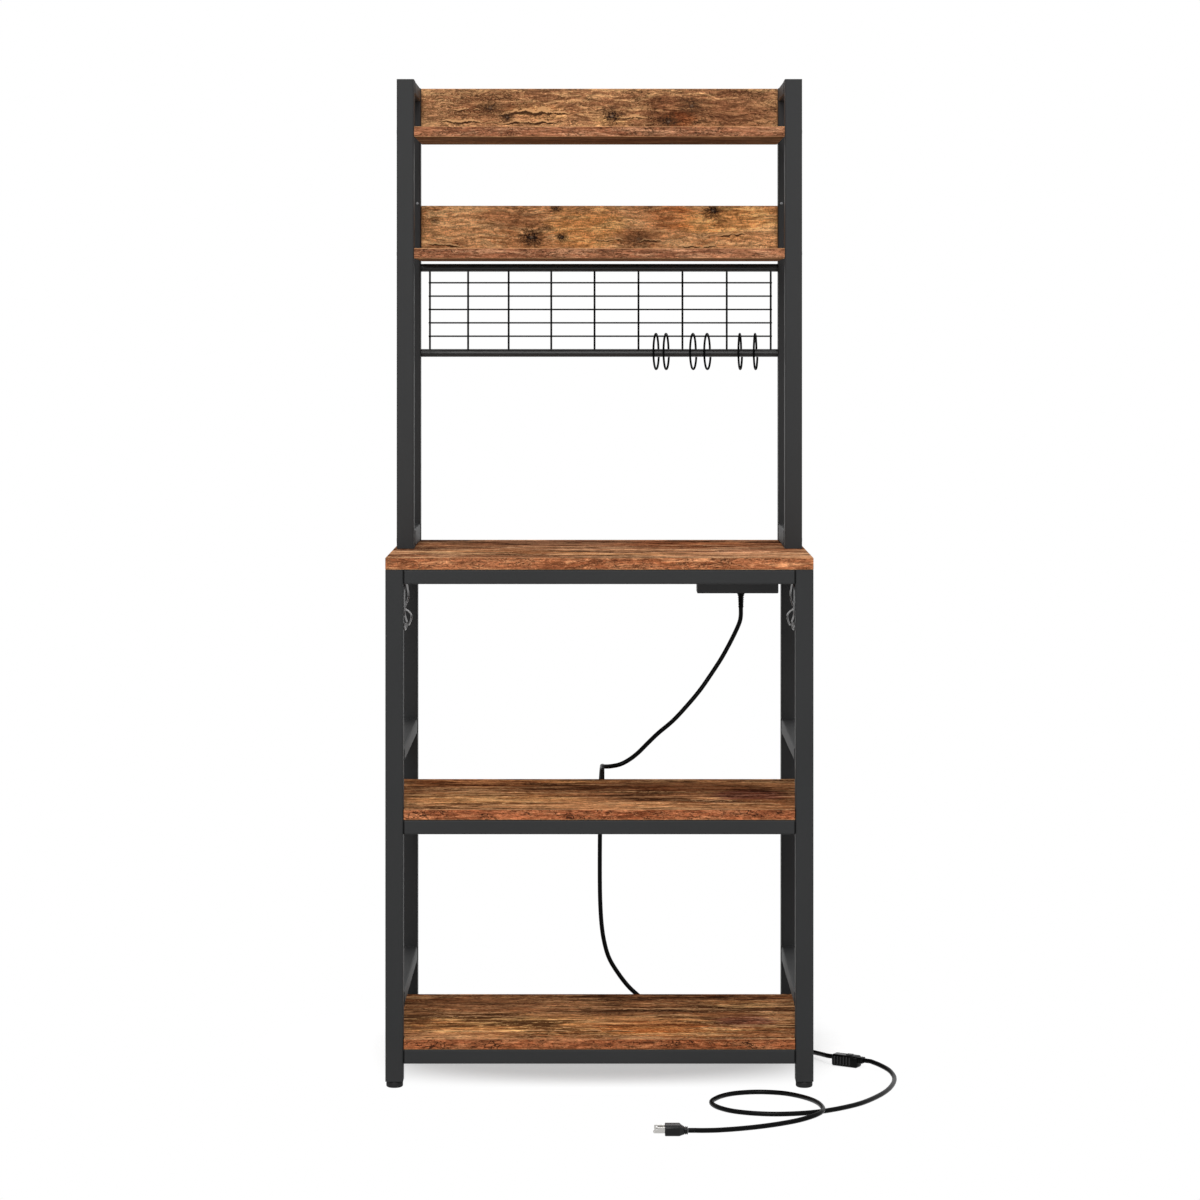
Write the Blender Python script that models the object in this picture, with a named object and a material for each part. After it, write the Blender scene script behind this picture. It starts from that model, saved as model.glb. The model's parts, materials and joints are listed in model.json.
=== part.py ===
# Kitchen rack: a square-tube lower frame with a worktop and two shelves, a shallower hutch with two shelves,
# a wire grid with hooks, and a power block with its cord, inline box and plug.
# Metres, +Z up, +X to the right, the front faces -Y. The origin is on the floor, in the footprint's middle.

import math

import bmesh
import bpy
from mathutils import Matrix, Vector

# Overall sizes
WIDTH = 0.600
DEPTH = 0.400
GAP = 0.0003  # clearance between pieces that touch
CUT_OVERRUN = 0.002  # how far a cutter reaches past the wall that it cuts

# Square tube of the frame
LEG_TUBE = 0.025
RAIL_TUBE = 0.020
TUBE_WALL = 0.0012
TUBE_CORNER = 0.0020
TUBE_CORNER_STEPS = 2
POST_CAP = 0.002

# Boards and their levels, given at the top faces
WORKTOP_TOP = 0.7435
WORKTOP_THICK = 0.017
MIDDLE_TOP = 0.391
BOTTOM_TOP = 0.0695
BOARD_THICK = 0.015
BOARD_EDGE = 0.0007
SHELF_DEPTH = 0.317
SHELF_REACH = 0.0005  # how far a shelf reaches past the outer face of a side rail
NOTCH_ROOM = 0.0008

# Guard bars: the height of their top faces over the shelf below
MIDDLE_GUARD_RISE = 0.0825
BOTTOM_GUARD_RISE = 0.0605

# Levelling feet
FOOT_HEIGHT = 0.0090
FOOT_RADIUS = 0.0118
FOOT_EDGE = 0.0010
STEM_RADIUS = 0.0040
STEM_LENGTH = 0.022
LEG_PLUG = 0.012
ROUND_STEPS = 16

# Bent-wire scroll in each side: it lies against the inner faces of the front leg and the top side rail
SCROLL_LENGTH = 0.200
SCROLL_HEIGHT = 0.070
SCROLL_RISE = 0.004  # above the rail's underside
SCROLL_RADIUS = 0.0012
# each point: share of the length back from the front, share of the height down from the top
SCROLL_SHARES = (
    (0.11, 0.864), (0.05, 0.907), (0.07, 0.971), (0.175, 1.0), (0.29, 0.971), (0.35, 0.90), (0.225, 0.80),
    (0.075, 0.664), (0.04, 0.493), (0.04, 0.293), (0.06, 0.15), (0.175, 0.03), (0.30, 0.093), (0.45, 0.25),
    (0.535, 0.379), (0.50, 0.464), (0.30, 0.50), (0.13, 0.536), (0.175, 0.593), (0.50, 0.707), (0.68, 0.78),
    (0.88, 0.871), (0.92, 0.936), (0.825, 0.993), (0.625, 1.014), (0.49, 0.993),
)

# Hutch on the rear half of the worktop: the upper shelf's top over the worktop, and the lower one's below it
HUTCH_INSET = 0.0045  # from the lower legs' outer faces to the posts' outer faces
HUTCH_DEPTH = 0.210
HUTCH_UPPER_RISE = 0.6155
HUTCH_SHELF_PITCH = 0.1774
BASE_BAR_HEIGHT = 0.025
BACKBOARD_HEIGHT = 0.069
BACKBOARD_THICK = 0.015

# Two round bars and the wire grid between them
BAR_RADIUS = 0.006
BAR_WALL = 0.001
BAR_DROP = 0.010  # from the lower hutch shelf's underside to the upper bar's axis
BAR_PITCH = 0.1291
WIRE_RADIUS = 0.0012  # of the rows
UPRIGHT_RADIUS = 0.0015
WIRE_SIDES = 6
WELD_OFFSET = 0.0018  # the uprights lie this far behind the rows, sunk into them by the weld
GRID_MARGIN = 0.0121  # from a post's inner face to the outer upright, with the grid in the middle
GRID_SHIFT = 0.0014
ROW_DROP = 0.0227  # from the upper bar's axis to the first row
ROW_PITCH = 0.02025
ROW_COUNT = 5
ROW_OVERHANG = 0.002
UPRIGHT_SHARES = (0, 0.112, 0.231, 0.356, 0.483, 0.612, 0.741, 0.871, 1)

# Hooks: each hangs on the grid's lowest row, with its shank against the lower bar
HOOK_RADIUS = 0.0015
HOOK_HEIGHT = 0.0565
HOOK_CURL = 0.006
HOOK_BACK = 0.0135  # from the row to the rear end's line, behind the lower bar
HOOK_TAIL = 0.0225  # how far the rear end reaches down from the row
HOOK_TIP = 0.0185  # how far the front end rises from the hook's lowest point
HOOK_ARC_STEPS = 10
HOOK_CURL_STEPS = 8
HOOK_SHANK_STEPS = 5
# place of each hook from the middle, as a share of half the grid's length, and the width that it shows in front
HOOK_SHARES = (0.332, 0.391, 0.549, 0.632, 0.824, 0.914)
HOOK_WIDTHS = (0.0112, 0.0112, 0.0125, 0.0125, 0.0082, 0.0082)

# Power block under the worktop, in front of the top rear rail
BLOCK_LENGTH = 0.1224
BLOCK_HEIGHT = 0.0595
BLOCK_DEPTH = 0.0365
BLOCK_WALL = 0.0025
BLOCK_EDGE = 0.0012
BLOCK_LEG_ROOM = 0.006
FACE_THICK = 0.003
OUTLET_PITCH = 0.060
SLOT_PITCH = 0.0127
SLOT_WIDTH = 0.0024
SLOT_HEIGHT = 0.0084
SLOT_RISE = 0.0045
EARTH_DROP = 0.0074
EARTH_RADIUS = 0.0027

# Cord, and the gland where it leaves the block's underside
CORD_RADIUS = 0.0033
CORD_LEAD = 0.010  # the straight run at each end
CORD_TURN = math.radians(20)  # the largest turn from one point of the cord to the next
CORD_SPAN = 0.045  # the longest run from one point of the cord to the next
GLAND_FROM_END = 0.056  # from the block's outer end to the gland's axis
GLAND_FROM_REAR = 0.0277  # from the rear rail to the axis
GLAND_ROOT = 0.0052
GLAND_TIP = 0.0040
GLAND_LENGTH = 0.022
GLAND_COLLAR = 0.0070
GLAND_COLLAR_THICK = 0.0020

# Clip that carries the cord over the middle shelf's rear edge
CLIP_WIDTH = 0.0062
CLIP_THICK = 0.0022
CLIP_DROP = 0.012
CLIP_RISE = 0.0158
CLIP_SADDLE = 0.009
CLIP_X = 0.0045

# Inline box, in its own frame: +X along the cord towards the plug, the underside at zero
BOX_PLACE = (0.3392, -0.0470)
BOX_HEADING = math.radians(-32)
BOX_LENGTH = 0.041
BOX_WIDTH = 0.019
BOX_HEIGHT = 0.0168
BOX_EDGE = 0.0025
BOX_CORD_LEVEL = 0.0116  # of the cord's axis where it enters and leaves the box
NECK_LENGTH = 0.0080
NECK_WIDTH = 0.012
NECK_HEIGHT = 0.0087
NECK_EDGE = 0.0018
BUTTON_LENGTH = 0.009
BUTTON_WIDTH = 0.007
BUTTON_PROUD = 0.0014
BUTTON_DEEP = 0.0030
BUTTON_TRAVEL = 0.0012
BUTTON_BACK = 0.015  # from the box's far wall to the button's middle

# Plug, in its own frame: +X from the cord towards the blades, the underside at zero
PLUG_PLACE = (0.1167, -0.4721)
PLUG_HEADING = math.radians(180)
PLUG_LENGTH = 0.0304
PLUG_WIDTH = 0.024
PLUG_HEIGHT = 0.0142
PLUG_EDGE = 0.0022
PLUG_BARREL = 0.0190  # length of the part with the full height
PLUG_TAIL = 0.0045
TAIL_WIDTH = 0.013
TAIL_HEIGHT = 0.0090
PLUG_CORD_LEVEL = 0.0062  # of the cord's axis where it enters the plug
CARRIER_THICK = 0.0016
CARRIER_INSET = 0.0030
CARRIER_WIDTH = 0.0180
CARRIER_HEIGHT = 0.0105
BLADE_LENGTH = 0.0140
BLADE_HEIGHT = 0.0062
BLADE_THICK = 0.0015
BLADE_PITCH = 0.0127
BLADE_LEVEL = 0.0088
PIN_LENGTH = 0.0155
PIN_RADIUS = 0.0022
PIN_LEVEL = 0.0042

# Route of the cord from the gland over the clip to the inline box, between its straight ends
UPPER_ROUTE = (
    (0.2110, 0.1520, 0.6225), (0.2015, 0.1510, 0.6013), (0.1854, 0.1490, 0.5715),
    (0.1677, 0.1460, 0.5444), (0.1501, 0.1420, 0.5199), (0.1301, 0.1360, 0.4970), (0.1100, 0.1290, 0.4766),
    (0.0875, 0.1185, 0.4590), (0.0700, 0.1085, 0.4435), (0.0580, 0.1015, 0.4325), (0.0450, 0.0950, 0.4232),
    (0.0315, 0.0915, 0.4165), (0.0180, 0.0955, 0.4130), (0.0080, 0.1055, 0.4112), (0.0045, 0.1180, 0.4105),
    (0.0040, 0.1290, 0.4082), (0.0034, 0.1378, 0.4022), (0.0028, 0.1436, 0.3932), (0.0022, 0.1456, 0.3820),
    (0.0014, 0.1458, 0.3550), (0.0008, 0.1458, 0.3000), (0.0006, 0.1458, 0.2450), (0.0012, 0.1457, 0.2046),
    (0.0032, 0.1455, 0.1700), (0.0072, 0.1450, 0.1430), (0.0146, 0.1445, 0.1183), (0.0278, 0.1440, 0.0961),
    (0.0433, 0.1430, 0.0763), (0.0600, 0.1415, 0.0610), (0.0800, 0.1390, 0.0445), (0.1000, 0.1350, 0.0300),
    (0.1230, 0.1300, 0.0170), (0.1480, 0.1230, 0.0085), (0.1750, 0.1140, 0.0045), (0.2050, 0.0990, 0.0036),
    (0.2420, 0.0780, 0.0036), (0.2738, 0.0511, 0.0040), (0.2890, 0.0324, 0.0052), (0.3024, 0.0124, 0.0070),
    (0.3156, -0.0098, 0.0090),
)
# Route of the cord from the inline box round the loop in front to the plug, between its straight ends
LOWER_ROUTE = (
    (0.4018, -0.0943, 0.0096), (0.4126, -0.1144, 0.0070), (0.4170, -0.1366, 0.0048), (0.4169, -0.1575, 0.0038),
    (0.4121, -0.1881, 0.0036), (0.4015, -0.2253, 0.0036), (0.3850, -0.2625, 0.0036), (0.3597, -0.3033, 0.0036),
    (0.3302, -0.3329, 0.0036), (0.2988, -0.3545, 0.0036), (0.2684, -0.3655, 0.0036), (0.2357, -0.3690, 0.0036),
    (0.2063, -0.3638, 0.0036), (0.1811, -0.3516, 0.0036), (0.1648, -0.3340, 0.0036), (0.1560, -0.3158, 0.0036),
    (0.1536, -0.2979, 0.0036), (0.1580, -0.2818, 0.0036), (0.1687, -0.2625, 0.0036), (0.1852, -0.2473, 0.0036),
    (0.2078, -0.2388, 0.0036), (0.2314, -0.2390, 0.0038), (0.2558, -0.2499, 0.0046), (0.2752, -0.2733, 0.0062),
    (0.2898, -0.3039, 0.0084), (0.2982, -0.3329, 0.0100), (0.3016, -0.3587, 0.0108), (0.3012, -0.3770, 0.0110),
    (0.2956, -0.3932, 0.0106), (0.2833, -0.4070, 0.0090), (0.2639, -0.4181, 0.0064), (0.2379, -0.4298, 0.0045),
    (0.2107, -0.4420, 0.0038), (0.1836, -0.4540, 0.0040), (0.1567, -0.4640, 0.0046), (0.1380, -0.4700, 0.0056),
)

# Values that follow from the sizes above
FRONT = -DEPTH / 2
REAR = DEPTH / 2
LEG_INNER = WIDTH / 2 - LEG_TUBE
WORKTOP_UNDER = WORKTOP_TOP - WORKTOP_THICK
SHELF_REAR = FRONT + SHELF_DEPTH
HUTCH_FRONT = REAR - HUTCH_DEPTH
HUTCH_OUTER = WIDTH / 2 - HUTCH_INSET
HUTCH_INNER = HUTCH_OUTER - LEG_TUBE
HUTCH_LOWER_RISE = HUTCH_UPPER_RISE - HUTCH_SHELF_PITCH
HUTCH_HEIGHT = HUTCH_UPPER_RISE + BACKBOARD_HEIGHT
HUTCH_TOP = WORKTOP_TOP + HUTCH_HEIGHT
BAR_Y = REAR - LEG_TUBE / 2
GRID_LENGTH = 2 * (HUTCH_INNER - GRID_MARGIN)
UPPER_BAR_Z = WORKTOP_TOP + HUTCH_LOWER_RISE - BOARD_THICK - BAR_DROP
LOWER_BAR_Z = UPPER_BAR_Z - BAR_PITCH
LOWEST_ROW_Z = UPPER_BAR_Z - ROW_DROP - ROW_PITCH * (ROW_COUNT - 1)
BLOCK_END = LEG_INNER - BLOCK_LEG_ROOM
BLOCK_REAR = REAR - RAIL_TUBE - GAP
BLOCK_TOP = WORKTOP_UNDER - GAP
BLOCK_UNDER = BLOCK_TOP - BLOCK_HEIGHT
GLAND_Y = BLOCK_REAR - GLAND_FROM_REAR
SIDES = (("left", -1), ("right", 1))
QUARTER = math.pi / 2


def clear_scene():
    for item in list(bpy.data.objects):
        bpy.data.objects.remove(item, do_unlink=True)


def make_material(name, colour, roughness, metallic):
    material = bpy.data.materials.new(name)
    material.use_nodes = True
    shader = material.node_tree.nodes["Principled BSDF"]
    shader.inputs["Base Color"].default_value = (*colour, 1)
    shader.inputs["Roughness"].default_value = roughness
    shader.inputs["Metallic"].default_value = metallic
    return material


def add_object(name, data, material):
    item = bpy.data.objects.new(name, data)
    bpy.context.scene.collection.objects.link(item)
    if material is not None:
        data.materials.append(material)
    return item


def mesh_object(name, bm, material, smooth=False):
    bmesh.ops.recalc_face_normals(bm, faces=bm.faces)
    mesh = bpy.data.meshes.new(name)
    bm.to_mesh(mesh)
    bm.free()
    if smooth:
        mesh.shade_smooth()
        mesh.set_sharp_from_angle(angle=math.radians(35))
    return add_object(name, mesh, material)


def add_boolean(item, other, operation):
    other.hide_render = True
    other.display_type = "WIRE"
    modifier = item.modifiers.new(other.name, "BOOLEAN")
    modifier.operation = operation
    modifier.solver = "EXACT"
    modifier.object = other


def add_bevel(item, width, segments):
    modifier = item.modifiers.new("edge", "BEVEL")
    modifier.width = width
    modifier.segments = segments
    modifier.limit_method = "ANGLE"
    modifier.angle_limit = math.radians(40)


# Plain shapes


def add_box(bm, low, high):
    made = bmesh.ops.create_cube(bm, size=1)
    for vert in made["verts"]:
        vert.co = Vector([(low[i] + high[i]) / 2 + vert.co[i] * (high[i] - low[i]) for i in range(3)])


def add_rod(bm, middle, length, radius, sides, rotation):
    matrix = Matrix.Translation(middle) @ rotation
    bmesh.ops.create_cone(
        bm, cap_ends=True, segments=sides, radius1=radius, radius2=radius, depth=length, matrix=matrix
    )


def box_object(name, low, high, material):
    bm = bmesh.new()
    add_box(bm, low, high)
    return mesh_object(name, bm, material)


def square_loop(width, height, radius):
    # corner points of a rectangle with rounded corners, anticlockwise
    points = []
    for corner, (side_x, side_y) in enumerate(((1, 1), (-1, 1), (-1, -1), (1, -1))):
        for step in range(TUBE_CORNER_STEPS + 1):
            angle = QUARTER * (corner + step / TUBE_CORNER_STEPS)
            x = side_x * (width / 2 - radius) + radius * math.cos(angle)
            y = side_y * (height / 2 - radius) + radius * math.sin(angle)
            points.append((x, y))
    return points


def round_loop(radius):
    angles = [2 * math.pi * step / ROUND_STEPS for step in range(ROUND_STEPS)]
    return [(radius * math.cos(angle), radius * math.sin(angle)) for angle in angles]


def loop_at(bm, points, level):
    return [bm.verts.new((x, y, level)) for x, y in points]


def bridge(bm, first, second):
    for index in range(len(first)):
        after = (index + 1) % len(first)
        bm.faces.new((first[index], first[after], second[after], second[index]))


def tube_object(name, outer, inner, length, material, closed_low=0, closed_high=0):
    # tube along its own +Z from the origin; closed_low and closed_high are the thicknesses of its closed ends
    bm = bmesh.new()
    outer_low = loop_at(bm, outer, 0)
    outer_high = loop_at(bm, outer, length)
    inner_low = loop_at(bm, inner, closed_low)
    inner_high = loop_at(bm, inner, length - closed_high)
    bridge(bm, outer_low, outer_high)
    bridge(bm, inner_low, inner_high)
    ends = ((closed_low, outer_low, inner_low), (closed_high, outer_high, inner_high))
    for closed, outer_end, inner_end in ends:
        if closed > 0:
            bm.faces.new(outer_end)
            bm.faces.new(inner_end)
        else:
            bridge(bm, outer_end, inner_end)
    return mesh_object(name, bm, material, smooth=True)


def square_tube(name, width, height, length, material, closed_low=0, closed_high=0):
    outer = square_loop(width, height, TUBE_CORNER)
    inner = square_loop(width - 2 * TUBE_WALL, height - 2 * TUBE_WALL, TUBE_CORNER - TUBE_WALL)
    return tube_object(name, outer, inner, length, material, closed_low, closed_high)


def rail_along_x(name, half_length, y, top, material):
    item = square_tube(name, RAIL_TUBE, RAIL_TUBE, 2 * half_length, material)
    item.rotation_euler = (0, QUARTER, 0)
    item.location = (-half_length, y, top - RAIL_TUBE / 2)
    return item


def rail_along_y(name, front, rear, x, top, height, material):
    item = square_tube(name, RAIL_TUBE, height, rear - front, material)
    item.rotation_euler = (-QUARTER, 0, 0)
    item.location = (x, front, top - height / 2)
    return item


def turned_object(name, profile, material):
    # profile of (radius, height) from axis to axis, turned about +Z
    bm = bmesh.new()
    verts = [bm.verts.new((radius, 0, height)) for radius, height in profile]
    edges = [bm.edges.new(pair) for pair in zip(verts, verts[1:])]
    bmesh.ops.spin(
        bm, geom=verts + edges, cent=(0, 0, 0), axis=(0, 0, 1), angle=2 * math.pi, steps=ROUND_STEPS
    )
    bmesh.ops.remove_doubles(bm, verts=bm.verts, dist=GAP / 10)
    return mesh_object(name, bm, material, smooth=True)


def board_object(name, outline, top, thick, material):
    bm = bmesh.new()
    low = loop_at(bm, outline, top - thick)
    high = loop_at(bm, outline, top)
    bridge(bm, low, high)
    bm.faces.new(low)
    bm.faces.new(high)
    item = mesh_object(name, bm, material)
    add_bevel(item, BOARD_EDGE, 1)
    return item


def rectangle(low_x, high_x, low_y, high_y):
    return ((low_x, low_y), (high_x, low_y), (high_x, high_y), (low_x, high_y))


# Smooth wires


def curve_through(points, steps):
    # points on a smooth curve through every given point, with steps to each span
    result = []
    for index in range(len(points) - 1):
        before = Vector(points[max(index - 1, 0)])
        start = Vector(points[index])
        end = Vector(points[index + 1])
        after = Vector(points[min(index + 2, len(points) - 1)])
        for step in range(steps):
            t = step / steps
            square = (2 * before - 5 * start + 4 * end - after) * t**2
            cube = (3 * start - before - 3 * end + after) * t**3
            result.append((2 * start + (end - before) * t + square + cube) / 2)
    result.append(Vector(points[-1]))
    return result


def thin_out(points, turn, span):
    # keeps a point where the line has turned enough, or run far enough, since the last one kept
    kept = [points[0]]
    for index in range(1, len(points) - 1):
        run = points[index] - kept[-1]
        ahead = points[index + 1] - points[index]
        start = kept[-1] - kept[-2] if len(kept) > 1 else run
        if run.length > 0 and (start.angle(ahead) > turn or run.length > span):
            kept.append(points[index])
    kept.append(points[-1])
    return kept


def wire_object(name, points, radius, resolution, material):
    data = bpy.data.curves.new(name, "CURVE")
    data.dimensions = "3D"
    data.bevel_depth = radius
    data.bevel_resolution = resolution
    data.use_fill_caps = True
    spline = data.splines.new("POLY")
    spline.points.add(len(points) - 1)
    for place, point in zip(spline.points, points):
        place.co = (*point, 1)
    return add_object(name, data, material)


# Lower frame


def build_legs_and_feet(steel, rubber):
    base = FOOT_HEIGHT + GAP
    length = WORKTOP_UNDER - GAP - base
    bore = STEM_RADIUS + GAP
    stem_top = FOOT_HEIGHT + STEM_LENGTH
    bore_profile = ((0, base - CUT_OVERRUN), (bore, base - CUT_OVERRUN))
    bore_profile += ((bore, base + LEG_PLUG + CUT_OVERRUN), (0, base + LEG_PLUG + CUT_OVERRUN))
    foot_profile = (
        (0, 0), (FOOT_RADIUS - FOOT_EDGE, 0), (FOOT_RADIUS, FOOT_EDGE), (FOOT_RADIUS, FOOT_HEIGHT),
        (STEM_RADIUS, FOOT_HEIGHT), (STEM_RADIUS, stem_top), (0, stem_top),
    )
    for side, sign in SIDES:
        for end, y in (("front", FRONT + LEG_TUBE / 2), ("rear", REAR - LEG_TUBE / 2)):
            x = sign * (WIDTH / 2 - LEG_TUBE / 2)
            leg = square_tube(f"leg_{end}_{side}", LEG_TUBE, LEG_TUBE, length, steel, closed_low=LEG_PLUG)
            leg.location = (x, y, base)
            hole = turned_object(f"leg_{end}_{side}_bore", bore_profile, None)
            hole.location = (x, y, 0)
            add_boolean(leg, hole, "DIFFERENCE")
            foot = turned_object(f"foot_{end}_{side}", foot_profile, rubber)
            foot.location = (x, y, 0)


def build_rails(steel):
    front = FRONT + LEG_TUBE + GAP
    rear = REAR - LEG_TUBE - GAP
    half_length = LEG_INNER - GAP
    side_x = LEG_INNER + RAIL_TUBE / 2
    levels = (
        ("top", WORKTOP_UNDER - GAP), ("middle", MIDDLE_TOP - BOARD_THICK - GAP),
        ("bottom", BOTTOM_TOP - BOARD_THICK - GAP),
    )
    for level, top in levels:
        rear_face = REAR if level == "top" else SHELF_REAR
        rail_along_x(f"front_rail_{level}", half_length, FRONT + RAIL_TUBE / 2, top, steel)
        rail_along_x(f"rear_rail_{level}", half_length, rear_face - RAIL_TUBE / 2, top, steel)
        for side, sign in SIDES:
            rail_along_y(f"side_rail_{level}_{side}", front, rear, sign * side_x, top, RAIL_TUBE, steel)
    for level, top in (("middle", MIDDLE_TOP + MIDDLE_GUARD_RISE), ("bottom", BOTTOM_TOP + BOTTOM_GUARD_RISE)):
        for side, sign in SIDES:
            rail_along_y(f"guard_bar_{level}_{side}", front, rear, sign * side_x, top, RAIL_TUBE, steel)


def build_scrolls(steel):
    top = WORKTOP_UNDER - GAP - RAIL_TUBE + SCROLL_RISE
    for side, sign in SIDES:
        x = sign * (LEG_INNER - GAP - SCROLL_RADIUS)
        places = []
        for along, down in SCROLL_SHARES:
            places.append((0, FRONT + SCROLL_LENGTH * along, top - SCROLL_HEIGHT * down))
        scroll = wire_object(f"side_scroll_{side}", curve_through(places, 2), SCROLL_RADIUS, 1, steel)
        scroll.location = (x, 0, 0)


def build_shelves(wood):
    half_front = LEG_INNER - NOTCH_ROOM
    half_rear = LEG_INNER + RAIL_TUBE + SHELF_REACH
    notch = FRONT + LEG_TUBE + NOTCH_ROOM
    outline = (
        (-half_front, FRONT), (half_front, FRONT), (half_front, notch), (half_rear, notch),
        (half_rear, SHELF_REAR), (-half_rear, SHELF_REAR), (-half_rear, notch), (-half_front, notch),
    )
    board_object("middle_shelf", outline, MIDDLE_TOP, BOARD_THICK, wood)
    board_object("bottom_shelf", outline, BOTTOM_TOP, BOARD_THICK, wood)
    whole = rectangle(-WIDTH / 2, WIDTH / 2, FRONT, REAR)
    board_object("worktop", whole, WORKTOP_TOP, WORKTOP_THICK, wood)


# Hutch


def build_hutch_frame(steel):
    length = HUTCH_HEIGHT - GAP
    front = HUTCH_FRONT + LEG_TUBE + GAP
    rear = REAR - LEG_TUBE - GAP
    base_top = WORKTOP_TOP + GAP + BASE_BAR_HEIGHT
    for side, sign in SIDES:
        x = sign * (HUTCH_OUTER - LEG_TUBE / 2)
        bar_x = sign * (HUTCH_INNER + RAIL_TUBE / 2)
        for end, y in (("front", HUTCH_FRONT + LEG_TUBE / 2), ("rear", REAR - LEG_TUBE / 2)):
            post = square_tube(
                f"hutch_post_{end}_{side}", LEG_TUBE, LEG_TUBE, length, steel, closed_high=POST_CAP
            )
            post.location = (x, y, WORKTOP_TOP + GAP)
        rail_along_y(f"hutch_base_bar_{side}", front, rear, bar_x, base_top, BASE_BAR_HEIGHT, steel)
        rail_along_y(f"hutch_top_bar_{side}", front, rear, bar_x, HUTCH_TOP, RAIL_TUBE, steel)


def build_hutch_shelves(wood):
    half = HUTCH_INNER - GAP
    shelf = rectangle(-half, half, HUTCH_FRONT, REAR)
    board = rectangle(-half, half, REAR - BACKBOARD_THICK, REAR)
    for level, rise in (("lower", HUTCH_LOWER_RISE), ("upper", HUTCH_UPPER_RISE)):
        top = WORKTOP_TOP + rise
        board_object(f"hutch_{level}_shelf", shelf, top, BOARD_THICK, wood)
        height = BACKBOARD_HEIGHT - GAP
        board_object(f"hutch_{level}_backboard", board, top + BACKBOARD_HEIGHT, height, wood)


def build_grid(steel, wire):
    half = HUTCH_INNER - GAP
    for level, z in (("upper", UPPER_BAR_Z), ("lower", LOWER_BAR_Z)):
        bar = tube_object(
            f"grid_bar_{level}", round_loop(BAR_RADIUS), round_loop(BAR_RADIUS - BAR_WALL), 2 * half, steel
        )
        bar.rotation_euler = (0, QUARTER, 0)
        bar.location = (-half, BAR_Y, z)
    rows = bmesh.new()
    for row in range(ROW_COUNT):
        middle = Vector((GRID_SHIFT, BAR_Y, UPPER_BAR_Z - ROW_DROP - ROW_PITCH * row))
        turn = Matrix.Rotation(QUARTER, 4, "Y")
        add_rod(rows, middle, GRID_LENGTH + 2 * ROW_OVERHANG, WIRE_RADIUS, WIRE_SIDES, turn)
    grid = mesh_object("wire_grid", rows, wire, smooth=True)
    uprights = bmesh.new()
    height = BAR_PITCH - 2 * (BAR_RADIUS + GAP)
    for share in UPRIGHT_SHARES:
        x = GRID_SHIFT + GRID_LENGTH * (share - 0.5)
        middle = Vector((x, BAR_Y + WELD_OFFSET, (UPPER_BAR_Z + LOWER_BAR_Z) / 2))
        turn = Matrix.Rotation(QUARTER / 3, 4, "Z")
        add_rod(uprights, middle, height, UPRIGHT_RADIUS, WIRE_SIDES, turn)
    add_boolean(grid, mesh_object("wire_grid_uprights", uprights, None), "UNION")


def hook_points(width):
    # from the rear end over the row, down the shank in front of the bar, and round the curl to the front end
    reach = BAR_RADIUS + GAP + HOOK_RADIUS
    loop = (reach + HOOK_BACK) / 2
    loop_y = (HOOK_BACK - reach) / 2
    crown = -math.sqrt((loop - WIRE_RADIUS - GAP - HOOK_RADIUS) ** 2 - loop_y**2)
    top = crown + loop
    bottom = top + 2 * HOOK_RADIUS - HOOK_HEIGHT
    half_width = width / 2 - HOOK_RADIUS
    middle = (top + bottom) / 2
    half_height = (top - bottom) / 2
    curl = bottom + HOOK_CURL
    places = [(HOOK_BACK, -HOOK_TAIL, 1), (HOOK_BACK, (crown - HOOK_TAIL) / 2, 1)]
    for step in range(HOOK_ARC_STEPS + 1):
        angle = math.pi * step / HOOK_ARC_STEPS
        side = 1 if step < HOOK_ARC_STEPS / 2 else -1
        places.append((loop_y + loop * math.cos(angle), crown + loop * math.sin(angle), side))
    for step in range(1, HOOK_SHANK_STEPS):
        places.append((-reach, crown + (curl - crown) * step / HOOK_SHANK_STEPS, -1))
    for step in range(HOOK_CURL_STEPS + 1):
        angle = math.pi * step / HOOK_CURL_STEPS
        side = -1 if step < HOOK_CURL_STEPS / 2 else 1
        y = -reach - HOOK_CURL + HOOK_CURL * math.cos(angle)
        places.append((y, curl - HOOK_CURL * math.sin(angle), side))
    places.append((-reach - 2 * HOOK_CURL, (curl + bottom + HOOK_TIP) / 2, 1))
    places.append((-reach - 2 * HOOK_CURL, bottom + HOOK_TIP, 1))
    points = []
    for y, z, side in places:
        level = min(abs((z - middle) / half_height), 1)
        points.append((side * half_width * math.sqrt(1 - level**2), y, z))
    return points


def build_hooks(wire):
    for number, (share, width) in enumerate(zip(HOOK_SHARES, HOOK_WIDTHS), start=1):
        hook = wire_object(f"hook_{number}", hook_points(width), HOOK_RADIUS, 2, wire)
        hook.location = (share * GRID_LENGTH / 2, BAR_Y, LOWEST_ROW_Z)


# Power block, gland and clip


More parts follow.
